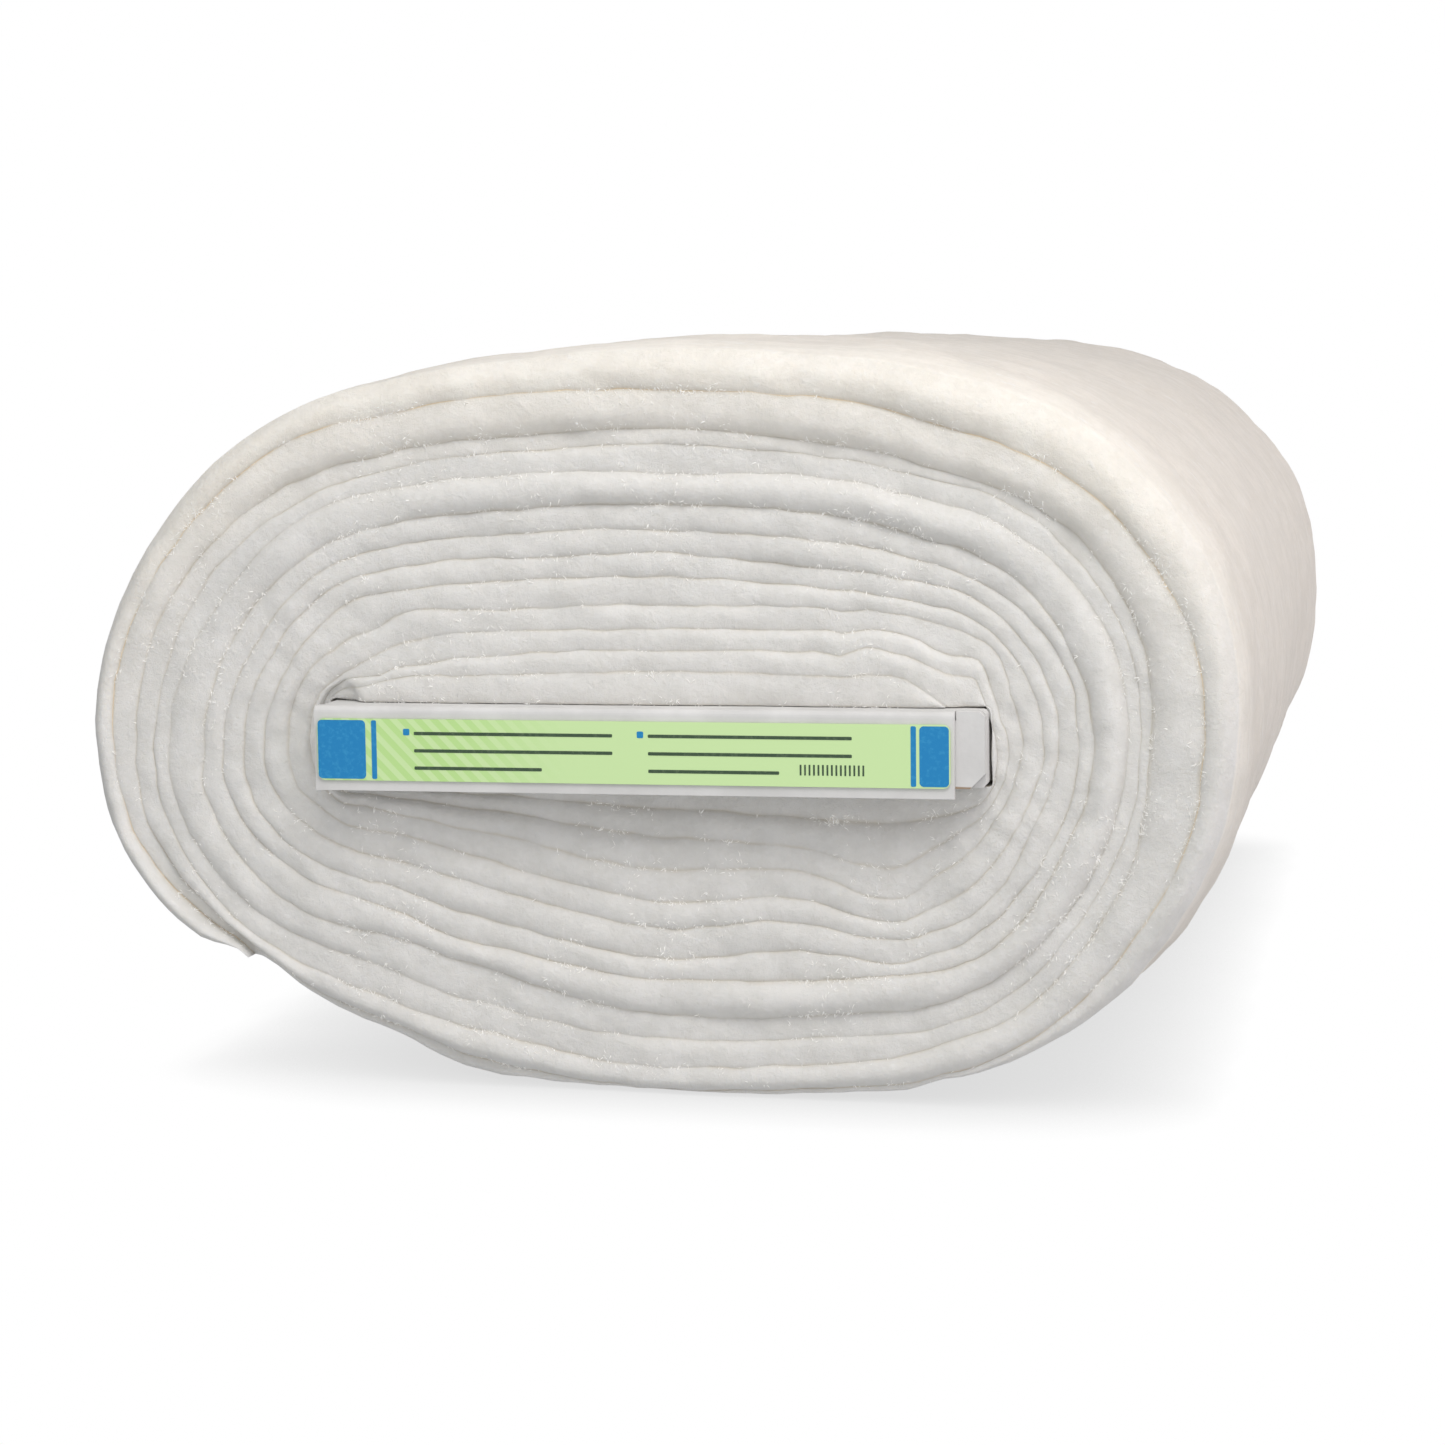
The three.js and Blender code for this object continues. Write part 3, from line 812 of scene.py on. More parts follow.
@dataclass
class LooseFibres:
    """Short fibres that stand out of the batting, as closed slivers in one mesh.

    Args:
        name: the piece's name.
        seed: which pattern it is.
        length: a fibre's shortest and longest length.
        radius: a fibre's half thickness where it leaves the batting.
        lift: how much it stands up, against how much it lies along the surface.
        sink: how deep its root is in the batting.
        spread: how freely it turns along the surface.
        curl: how far its tip bends aside, against its length.
        droop: how much of its lift its tip loses.
    """

    name: str
    seed: int
    length: tuple[float, float] = (0.9, 2.3)
    radius: float = 0.14
    lift: tuple[float, float] = (0.12, 0.5)
    sink: float = 0.35
    spread: float = 0.75
    curl: float = 0.3
    droop: float = 0.25
    corners: int = 3

    def build(self, places: np.ndarray, normals: np.ndarray, along: np.ndarray) -> bpy.types.Object:
        """Builds the fibres.

        Args:
            places: where each fibre leaves the surface, in metres.
            normals: the surface's direction there.
            along: a direction that each fibre leans to, or zeros.

        Returns:
            The finished object.
        """
        chance = np.random.default_rng(self.seed)
        count = len(places)
        free = chance.normal(size=(count, 3)) * self.spread + along
        flat = free - (free * normals).sum(axis=1, keepdims=True) * normals
        flat /= np.maximum(np.linalg.norm(flat, axis=1, keepdims=True), 1e-9)
        lift = chance.uniform(*self.lift, size=(count, 1))
        course = flat + normals * lift
        course /= np.linalg.norm(course, axis=1, keepdims=True)
        reach = chance.uniform(*self.length, size=(count, 1)) * MM
        bend = np.cross(course, chance.normal(size=(count, 3))) * reach * self.curl
        foot = places - normals * self.sink * MM
        middle = foot + course * (reach * 0.55 + self.sink * MM) + bend * 0.35
        tip = foot + course * (reach + self.sink * MM) + bend - normals * lift * reach * self.droop
        side = np.cross(course, normals + chance.normal(size=(count, 3)) * 0.2)
        side /= np.maximum(np.linalg.norm(side, axis=1, keepdims=True), 1e-9)
        other = np.cross(course, side)
        radius = self.radius * chance.uniform(0.6, 1.3, size=(count, 1)) * MM
        angles = [2 * math.pi * k / self.corners for k in range(self.corners)]
        rings = [
            centre + radius * share * (math.cos(angle) * side + math.sin(angle) * other)
            for centre, share in ((foot, 1.0), (middle, 0.75))
            for angle in angles
        ]
        points = np.stack(rings + [tip], axis=1).reshape(-1, 3)
        start = (len(rings) + 1) * np.arange(count)[:, None]
        faces = np.concatenate([start + np.array(face) for face in self.faces()])
        return piece_from(self.name, points, faces)

    def faces(self) -> list[tuple[int, int, int]]:
        """Lists one fibre's faces.

        Returns:
            The vertex numbers of its root's cap, its sides and its tip.
        """
        ring = self.corners
        pairs = [(k, (k + 1) % ring) for k in range(ring)]
        sides = [(k, after, ring + after) for k, after in pairs]
        sides += [(k, ring + after, ring + k) for k, after in pairs]
        tips = [(ring + k, ring + after, 2 * ring) for k, after in pairs]
        return [(0, 2, 1)] + sides + tips


@dataclass
class Fuzz:
    """The tufts of loose fibres along the folds of both ends.

    Args:
        roll: the roll that they stand on.
        tufts: how many the front end has.
        back_tufts: how many the back end has.
        tuft_fibres: how many fibres are in a tuft.
        seam_pull: how much denser they are at the seams, and seam_power how closely they keep to
            them.
        crowding: the usual distance between two crowded places, and crowd_middle and crowd_limits
            how crowded they are.
        floor_gap: how far above the floor the lowest ones stand.
        lean: how strongly they lean to the nearest seam.
    """

    roll: BattingRoll
    tufts: int = 4600
    back_tufts: int = 2600
    tuft_fibres: int = 3
    seam_pull: float = 22.0
    seam_power: int = 6
    crowding: float = 50.0
    crowd_middle: float = 0.35
    crowd_limits: tuple[float, float] = (0.04, 1.5)
    floor_gap: float = 4.0
    lean: float = 0.6

    def build(self) -> list[bpy.types.Object]:
        """Builds the tufts of both ends and dresses them.

        Returns:
            The piece of each end.
        """
        front, back = self.roll.grids
        cotton = FibreFinish().build()
        pieces = [
            self.on_end("fold_fuzz_front", front, 1.0, self.tufts, seed=51),
            self.on_end("fold_fuzz_back", back, -1.0, self.back_tufts, seed=52),
        ]
        for piece in pieces:
            cover(piece, cotton)
            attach(piece, "root")
        return pieces

    def on_end(
        self, name: str, grid: np.ndarray, turned: float, tufts: int, seed: int
    ) -> bpy.types.Object:
        """Puts tufts on the folds of one end, most of them beside the seams.

        Args:
            name: the piece's name.
            grid: the end's points, by station and by place across the turn.
            turned: 1 where the grid's cells turn out of the roll, or -1.
            tufts: how many tufts there are.
            seed: which pattern it is.

        Returns:
            The piece.
        """
        chance = np.random.default_rng(seed)
        corner = grid[:-1, :-1]
        ahead = grid[1:, :-1] - corner
        aside = grid[:-1, 1:] - corner
        normal = np.cross(aside, ahead) * turned
        area = np.linalg.norm(normal, axis=2)
        normal /= np.maximum(area, 1e-12)[..., None]
        cells = grid.shape[1] - 1
        place = (np.arange(cells) + 0.5) / cells
        near_seam = np.abs(np.cos(np.pi * place))
        ripple = Ripple(self.crowding * MM, seed=seed + 10)
        crowd = self.crowd_middle + ripple.at(corner.reshape(-1, 3))
        crowd = np.clip(crowd, *self.crowd_limits).reshape(area.shape)
        odds = area * (1.0 + self.seam_pull * near_seam[None, :] ** self.seam_power) * crowd
        odds[: self.roll.turn_stations + self.roll.fineness, : cells // 2 + 1] = 0.0
        odds[corner[..., 2] < self.floor_gap * MM] = 0.0
        odds /= odds.sum()
        chosen = chance.choice(odds.size, size=tufts, p=odds.ravel())
        row, column = np.unravel_index(chosen, odds.shape)
        share = chance.uniform(size=(2, tufts, 1))
        centre = corner[row, column] + ahead[row, column] * share[0] + aside[row, column] * share[1]
        to_seam = aside[row, column] * np.where(column < cells / 2, -1.0, 1.0)[:, None]
        to_seam /= np.maximum(np.linalg.norm(to_seam, axis=1, keepdims=True), 1e-9)
        tufted = (centre, normal[row, column], to_seam * self.lean)
        return LooseFibres(name, seed=seed + 20).build(
            *(np.repeat(values, self.tuft_fibres, axis=0) for values in tufted)
        )


def piece_from(name: str, points: np.ndarray, faces: np.ndarray) -> bpy.types.Object:
    """Makes a smooth piece from arrays.

    Args:
        name: the piece's name.
        points: its vertices, in metres.
        faces: the vertex numbers of each face.

    Returns:
        The piece.
    """
    mesh = bpy.data.meshes.new(name)
    mesh.from_pydata(points.tolist(), [], faces.tolist())
    mesh.update()
    mesh.shade_smooth()
    piece = bpy.data.objects.new(name, mesh)
    bpy.context.collection.objects.link(piece)
    return piece


@dataclass(frozen=True)
class Grain:
    """The size and kind of a noise: its scale for each metre, and its detail."""

    scale: float
    detail: float = 2.0
    roughness: float = 0.5
    distortion: float = 0.0


class Graph:
    """A node tree, with short calls to add and link its nodes."""

    def __init__(self, owner: bpy.types.ID) -> None:
        """Starts with an empty tree.

        Args:
            owner: the material or the world that it belongs to.
        """
        owner.use_nodes = True
        self.tree = owner.node_tree
        self.tree.nodes.clear()

    def add(self, kind: str, **values: object) -> bpy.types.Node:
        """Adds a node.

        Args:
            kind: the node's type, without its usual prefix.
            **values: its settings, and its inputs' values or the sockets to link to them. An
                input's name has _ for each space.

        Returns:
            The node.
        """
        node = self.tree.nodes.new("ShaderNode" + kind)
        for key, value in values.items():
            if hasattr(node, key):
                setattr(node, key, value)
            else:
                self.feed(node.inputs[key.replace("_", " ")], value)
        return node

    def feed(self, socket: bpy.types.NodeSocket, value: object) -> None:
        """Links a socket to an input, or sets the input's value.

        Args:
            socket: the input.
            value: a socket or a plain value.
        """
        if isinstance(value, bpy.types.NodeSocket):
            self.tree.links.new(value, socket)
        else:
            socket.default_value = value

    def maths(self, operation: str, *terms: object, clamp: bool = False) -> bpy.types.NodeSocket:
        """Adds a sum.

        Args:
            operation: the kind of sum.
            *terms: its two or three numbers or sockets.
            clamp: whether the result is kept between 0 and 1.

        Returns:
            The result.
        """
        node = self.tree.nodes.new("ShaderNodeMath")
        node.operation = operation
        node.use_clamp = clamp
        for socket, term in zip(node.inputs, terms):
            self.feed(socket, term)
        return node.outputs[0]

    def total(self, *parts: tuple[object, float]) -> bpy.types.NodeSocket:
        """Adds up sockets.

        Args:
            *parts: the sockets, each with what it is multiplied by.

        Returns:
            The result.
        """
        shares = [self.maths("MULTIPLY", part, share) for part, share in parts]
        whole = shares[0]
        for share in shares[1:]:
            whole = self.maths("ADD", whole, share)
        return whole

    def mix(self, share: object, a: object, b: object, blend: str = "MIX") -> bpy.types.NodeSocket:
        """Mixes two colours.

        Args:
            share: how much of the second one there is.
            a: the first colour.
            b: the second colour.
            blend: how they are mixed.

        Returns:
            The mixed colour.
        """
        node = self.tree.nodes.new("ShaderNodeMix")
        node.data_type = "RGBA"
        node.blend_type = blend
        self.feed(node.inputs["Factor"], share)
        self.feed(node.inputs["A"], a)
        self.feed(node.inputs["B"], b)
        return node.outputs["Result"]

    def ramp(self, value: bpy.types.NodeSocket, low: float, high: float) -> bpy.types.NodeSocket:
        """Maps a range to 0 to 1, smoothly.

        Args:
            value: what is mapped.
            low: the value that gives 0.
            high: the value that gives 1.

        Returns:
            The result.
        """
        node = self.tree.nodes.new("ShaderNodeMapRange")
        node.interpolation_type = "SMOOTHSTEP"
        self.feed(node.inputs["Value"], value)
        self.feed(node.inputs["From Min"], low)
        self.feed(node.inputs["From Max"], high)
        return node.outputs["Result"]

    def stored(self, name: str, output: str = "Fac") -> bpy.types.NodeSocket:
        """Gives a value that is stored in the mesh."""
        return self.add("Attribute", attribute_name=name).outputs[output]

    def noise(
        self, place: bpy.types.NodeSocket, grain: Grain, output: str = "Fac"
    ) -> bpy.types.NodeSocket:
        """Adds noise.

        Args:
            place: the coordinates that it follows.
            grain: its size and kind.
            output: which of its results is wanted.

        Returns:
            The result.
        """
        node = self.add("TexNoise", Vector=place, Scale=grain.scale, Detail=grain.detail)
        node.inputs["Roughness"].default_value = grain.roughness
        node.inputs["Distortion"].default_value = grain.distortion
        return node.outputs[output]

    def bump(
        self, height: bpy.types.NodeSocket, strength: float, distance: float = MM
    ) -> bpy.types.NodeSocket:
        """Adds a relief of a height and gives the direction of its surface."""
        return self.add("Bump", Strength=strength, Distance=distance, Height=height).outputs["Normal"]


class SurfaceGraph(Graph):
    """A material's node tree, which ends in one surface shader."""

    def __init__(self, name: str) -> None:
        """Starts the material.

        Args:
            name: the material's name.
        """
        self.material = bpy.data.materials.new(name)
        super().__init__(self.material)
        output = self.tree.nodes.new("ShaderNodeOutputMaterial")
        self.shader = self.tree.nodes.new("ShaderNodeBsdfPrincipled")
        self.tree.links.new(self.shader.outputs["BSDF"], output.inputs["Surface"])

    @cached_property
    def place(self) -> bpy.types.NodeSocket:
        """The object's own coordinates."""
        return self.add("TexCoord").outputs["Object"]

    def finish(self, **values: object) -> bpy.types.Material:
        """Sets the surface shader's inputs.

        Args:
            **values: the inputs' values or sockets. A name has _ for each space.

        Returns:
            The material.
        """
        for key, value in values.items():
            self.feed(self.shader.inputs[key.replace("_", " ")], value)
        return self.material


def paint(red: float, green: float, blue: float) -> tuple[float, float, float, float]:
    """Gives an opaque linear colour."""
    return (red, green, blue, 1.0)


@dataclass(frozen=True)
class CottonFinish:
    """Soft unbleached cotton batting, with loose fibres and a few thicker slubs, painted shade in its
    seams, its valleys and on its side, and a painted highlight on its upper outer turns.
    """

    base: tuple = paint(0.852, 0.842, 0.816)
    shade: tuple = paint(0.785, 0.775, 0.745)
    # Above white, so that it brightens as it colours: a painted highlight.
    cream_highlight: tuple = paint(1.13, 1.095, 1.04)
    # The painted shade of the roll's side.
    outside: tuple = paint(0.852, 0.832, 0.818)
    # The colours of the painted shade along the seams, and in the valleys between the folds.
    warm: tuple = paint(0.86, 0.68, 0.42)
    drab: tuple = paint(0.72, 0.66, 0.54)
    valley_shade: tuple = paint(0.85, 0.84, 0.82)
    fleck: tuple = paint(0.93, 0.92, 0.90)
    # How the surface takes the light, and how far light goes through it.
    roughness: float = 1.0
    shine: float = 0.1
    sheen: float = 0.2
    depth: float = 2.2
    through: float = 0.32
    through_tint: tuple[float, float, float] = (1.0, 0.93, 0.82)
    # The streaks and threads on the side, along the cloth and across it, and the other noises.
    streaks: tuple[float, float, float] = (9.0, 420.0, 1.0)
    threads: tuple[float, float, float] = (70.0, 620.0, 1.0)
    mottle: Grain = Grain(75.0, 4.0, 0.62)
    fibre: Grain = Grain(1300.0, 4.0, 0.7, 1.2)
    fluff: Grain = Grain(420.0, 3.0, 0.55, 0.4)
    streak: Grain = Grain(1.0, 4.0, 0.6)
    thread: Grain = Grain(1.0)
    seam_gaps: Grain = Grain(90.0)
    slub_bend: Grain = Grain(500.0)
    slub_drift: float = 3.0
    slub_cells: float = 240.0
    # Which part of each noise counts, from where it starts to where it is full.
    tone_range: tuple[float, float] = (0.30, 0.70)
    thread_range: tuple[float, float] = (0.62, 0.72)
    gap_range: tuple[float, float] = (0.25, 0.60)
    warm_range: tuple[float, float] = (0.58, 0.70)
    slub_range: tuple[float, float] = (0.34, 0.10)
    slub_share: tuple[float, float] = (0.86, 0.90)
    # How much of each goes into the colour, and then into the relief.
    streak_tone: float = 0.55
    fluff_tone: float = 0.45
    slub_tint: float = 0.35
    thread_tint: float = 0.5
    # How much painted shade the valleys and the seams get.
    valley_shade_share: float = 0.35
    crease_shade_strength: float = 0.8
    relief: float = 0.8
    fibre_height: float = 0.5
    fluff_height: float = 0.55
    streak_height: float = 0.5
    slub_height: float = 0.15
    thread_height: float = 0.3

    def build(self) -> bpy.types.Material:
        """Builds the material and returns it."""
        g = SurfaceGraph("cotton_batting")
        run = g.stored("run", "Vector")
        side = g.add("SeparateXYZ", Vector=run).outputs["Z"]
        mottle = g.noise(g.place, self.mottle)
        fluff = g.noise(g.place, self.fluff)
        streak = g.noise(self.drawn_out(g, run, self.streaks), self.streak)
        streak = g.maths("MULTIPLY", side, g.maths("SUBTRACT", streak, 0.5))
        thread = g.noise(self.drawn_out(g, run, self.threads), self.thread)
        thread = g.maths("MULTIPLY", g.ramp(thread, *self.thread_range), side)
        slubs = self.slubs(g)
        fluffy = g.maths("SUBTRACT", fluff, 0.5)
        tone = g.total((mottle, 1.0), (streak, self.streak_tone), (fluffy, self.fluff_tone))
        colour = g.mix(g.ramp(tone, *self.tone_range), self.shade, self.base)
        colour = self.cream_highlight_and_side_shade(g, colour)
        colour = g.mix(g.maths("MULTIPLY", slubs, self.slub_tint), colour, self.fleck)
        colour = g.mix(g.maths("MULTIPLY", thread, self.thread_tint), colour, self.fleck)
        colour = self.creased(g, colour)
        height = g.total(
            (g.noise(g.place, self.fibre), self.fibre_height),
            (fluff, self.fluff_height),
            (streak, self.streak_height),
            (slubs, self.slub_height),
            (thread, self.thread_height),
        )
        return g.finish(
            Base_Color=colour,
            Normal=g.bump(height, self.relief),
            Roughness=self.roughness,
            Sheen_Weight=self.sheen,
            Subsurface_Weight=self.through,
            Subsurface_Radius=self.through_tint,
            Subsurface_Scale=self.depth * MM,
            Specular_IOR_Level=self.shine,
        )

    def drawn_out(self, g: Graph, run: bpy.types.NodeSocket, scale: tuple) -> bpy.types.NodeSocket:
        """Scales the cloth's own coordinates, along it and across it."""
        return g.add("Mapping", vector_type="POINT", Vector=run, Scale=scale).outputs["Vector"]

    def cream_highlight_and_side_shade(self, g: Graph, colour: bpy.types.NodeSocket) -> bpy.types.NodeSocket:
        """Colours the upper outer turns and the roll's side cream, brightening them as a painted
        highlight, and darkens the side away from its rims with painted shade.

        Args:
            g: the material's graph.
            colour: the colour so far.

        Returns:
            The new colour.
        """
        age = g.stored("age")
        cream_highlight_share = g.maths("DIVIDE", age, CREAM_HIGHLIGHT_FULL, clamp=True)
        # Cream above white: a painted highlight.
        colour = g.mix(cream_highlight_share, colour, self.cream_highlight, "MULTIPLY")
        # Painted shade on the side, away from its rims.
        past = g.maths("SUBTRACT", age, CREAM_HIGHLIGHT_FULL)
        side_shade_share = g.maths("DIVIDE", past, 1 - CREAM_HIGHLIGHT_FULL, clamp=True)
        return g.mix(side_shade_share, colour, self.outside, "MULTIPLY")

    def creased(self, g: Graph, colour: bpy.types.NodeSocket) -> bpy.types.NodeSocket:
        """Darkens the valleys between the folds with painted shade, and paints the shade along the seams
        in broken lines.

        Args:
            g: the material's graph.
            colour: the colour so far.

        Returns:
            The new colour.
        """
        seam = g.stored("seam")
        broken = g.ramp(g.noise(g.place, self.seam_gaps), *self.gap_range)
        # Painted shade in the valleys between the folds.
        dim = g.maths("MULTIPLY", g.stored("valley"), self.valley_shade_share)
        colour = g.mix(dim, colour, self.valley_shade, "MULTIPLY")
        # Painted shade along the seams, warmer where it is strongest.
        line = g.mix(g.ramp(seam, *self.warm_range), self.drab, self.warm)
        drawn = g.maths("MULTIPLY", seam, g.maths("MULTIPLY", broken, self.crease_shade_strength))
        return g.mix(drawn, colour, line)

    def slubs(self, g: SurfaceGraph) -> bpy.types.NodeSocket:
        """Adds small pale knots of fibre, scattered unevenly.

        Args:
            g: the material's graph.

        Returns:
            A mask of the knots.
        """
        moved = g.add("VectorMath", operation="MULTIPLY_ADD")
        terms = (g.noise(g.place, self.slub_bend, "Color"), (self.slub_drift * MM,) * 3, g.place)
        for socket, term in zip(moved.inputs, terms):
            g.feed(socket, term)
        cells = g.add("TexVoronoi", Vector=moved.outputs["Vector"], Scale=self.slub_cells)
        near = g.ramp(cells.outputs["Distance"], *self.slub_range)
        chance = g.add("SeparateColor", Color=cells.outputs["Color"]).outputs["Red"]
        return g.maths("MULTIPLY", near, g.ramp(chance, *self.slub_share))


@dataclass(frozen=True)
class FibreFinish:
    """Loose cotton fibre, a little whiter than the batting that it stands out of, with a faint painted
    glow that keeps it light.
    """

    base: tuple = paint(0.95, 0.94, 0.92)
    shade: tuple = paint(0.86, 0.845, 0.815)
    # A painted glow: its colour and strength.
    glow: tuple = paint(0.98, 0.97, 0.95)
    painted_glow: float = 0.20
    roughness: float = 1.0
    shine: float = 0.1
    patches: Grain = Grain(260.0, 3.0)
    patch_range: tuple[float, float] = (0.35, 0.65)
    grain: Grain = Grain(4000.0)
    relief: float = 0.3
    relief_height: float = 0.1

    def build(self) -> bpy.types.Material:
        """Builds the material and returns it."""
        g = SurfaceGraph("loose_fibre")
        tone = g.ramp(g.noise(g.place, self.patches), *self.patch_range)
        return g.finish(
            Base_Color=g.mix(tone, self.shade, self.base),
            Normal=g.bump(g.noise(g.place, self.grain), self.relief, self.relief_height * MM),
            Roughness=self.roughness,
            Specular_IOR_Level=self.shine,
            Emission_Color=self.glow,
            Emission_Strength=self.painted_glow,
        )


@dataclass(frozen=True)
class CardFinish:
    """Pale lined cardboard with faint mottling, and raw brown fibre where it is cut, dark enough there
    to paint the shadow under the edge as well.

    Args:
        cut_and_shadow_below: the height below which the raw cut edge and its painted shadow show, in
            metres.
    """

    name: str = "lined_cardboard"
    cut_and_shadow_below: float = -1.0
    base: tuple = paint(0.735, 0.73, 0.72)
    dark: tuple = paint(0.65, 0.645, 0.635)
    # The raw cut edge's colour and share, dark enough to paint the shadow under it too.
    cut_edge_and_shadow: tuple = paint(0.30, 0.19, 0.10)
    cut_edge_and_shadow_share: float = 0.85
    cut_and_shadow_ragged: float = 0.6
    cut_and_shadow_blend: float = 0.15
    roughness: float = 0.7
    shine: float = 0.3
    cloud: Grain = Grain(42.0, 5.0, 0.65)
    cloud_range: tuple[float, float] = (0.35, 0.7)
    grain: Grain = Grain(1100.0, 3.0, 0.6)
    grain_height: float = 0.12
    soft: Grain = Grain(120.0)
    soft_height: float = 0.35
    relief: float = 0.5

    def build(self) -> bpy.types.Material:
        """Builds the material and returns it."""
        g = SurfaceGraph(self.name)
        soft = g.noise(g.place, self.soft)
        colour = g.mix(g.ramp(g.noise(g.place, self.cloud), *self.cloud_range), self.dark, self.base)
        # Brown below the cut height: the raw cut edge, with the painted shadow under it.
        ragged = g.maths("MULTIPLY", g.maths("SUBTRACT", soft, 0.5), self.cut_and_shadow_ragged * MM)
        height = g.maths("ADD", g.add("SeparateXYZ", Vector=g.place).outputs["Z"], ragged)
        blend = self.cut_and_shadow_blend * MM
        cut_edge_and_shadow = g.ramp(height, self.cut_and_shadow_below + blend, self.cut_and_shadow_below - blend)
        colour = g.mix(g.maths("MULTIPLY", cut_edge_and_shadow, self.cut_edge_and_shadow_share), colour, self.cut_edge_and_shadow)
        relief = g.total((g.noise(g.place, self.grain), self.grain_height), (soft, self.soft_height))
        return g.finish(
            Base_Color=colour,
            Normal=g.bump(relief, self.relief),
            Roughness=self.roughness,
            Specular_IOR_Level=self.shine,
        )


@dataclass(frozen=True)
class LabelFinish:
    """Green label paper, with a field of soft diagonal stripes at its left.

    Args:
        left: the label's left end, in metres.
        pitch: the distance between two stripes, in metres.
        field_range: where the stripes end and start to fade, from the label's left end.
    """

    left: float
    pitch: float = 0.0052
    field_range: tuple[float, float] = (0.082, 0.040)
    stripe_range: tuple[float, float] = (0.22, 0.26)
    stripe_tint: float = 0.75
    base: tuple = paint(0.64, 0.86, 0.43)
    stripe: tuple = paint(0.50, 0.78, 0.27)
    roughness: float = 0.5
    shine: float = 0.35
    grain: Grain = Grain(1400.0, 3.0)
    grain_height: float = 0.08
    relief: float = 0.2

    def build(self) -> bpy.types.Material:
        """Builds the material and returns it."""
        g = SurfaceGraph("label_paper")
        axes = g.add("SeparateXYZ", Vector=g.place)
        slant = g.maths("ADD", axes.outputs["X"], axes.outputs["Z"])
        wave = g.maths("PINGPONG", g.maths("DIVIDE", slant, self.pitch), 0.5)
        field_end = g.ramp(g.maths("SUBTRACT", axes.outputs["X"], self.left), *self.field_range)
        stripes = g.maths("MULTIPLY", g.ramp(wave, *self.stripe_range), field_end)
        stripes = g.maths("MULTIPLY", stripes, self.stripe_tint)
        grain = g.maths("MULTIPLY", g.noise(g.place, self.grain), self.grain_height)
        return g.finish(
            Base_Color=g.mix(stripes, self.base, self.stripe),
            Normal=g.bump(grain, self.relief),
            Roughness=self.roughness,
            Specular_IOR_Level=self.shine,
        )


@dataclass(frozen=True)
class PrintFinish:
    """One printed colour on the label, very slightly uneven."""

    name: str
    base: tuple
    worn: tuple
    roughness: float = 0.45
    shine: float = 0.35
    grain: Grain = Grain(900.0, 4.0)
    worn_range: tuple[float, float] = (0.45, 0.75)

    def build(self) -> bpy.types.Material:
        """Builds the material and returns it."""
        g = SurfaceGraph(self.name)
        worn = g.ramp(g.noise(g.place, self.grain), *self.worn_range)
        return g.finish(
            Base_Color=g.mix(worn, self.base, self.worn),
            Roughness=self.roughness,
            Specular_IOR_Level=self.shine,
        )


@dataclass
class PhotoCamera:
    """The camera at the photograph's viewing angle."""

    distance_y: float = -1.3014
    x: float = 0.23206
    z: float = 0.2332
    pitch: float = 6.470
    yaw: float = 11.689
    lens: float = 86.45
    sensor: float = 36.0
    sight: float = 60.0

    def place(self) -> bpy.types.Object:
        """Makes the camera the scene's own.

        Returns:
            The camera.
        """
        data = bpy.data.cameras.new("photo_camera")
        data.lens = self.lens
        data.sensor_width = self.sensor
        data.clip_end = self.sight
        camera = bpy.data.objects.new("photo_camera", data)
        camera.location = (self.x, self.distance_y, self.z)
        camera.rotation_euler = (math.radians(90 - self.pitch), 0.0, math.radians(self.yaw))
        bpy.context.collection.objects.link(camera)
        bpy.context.scene.camera = camera
        return camera


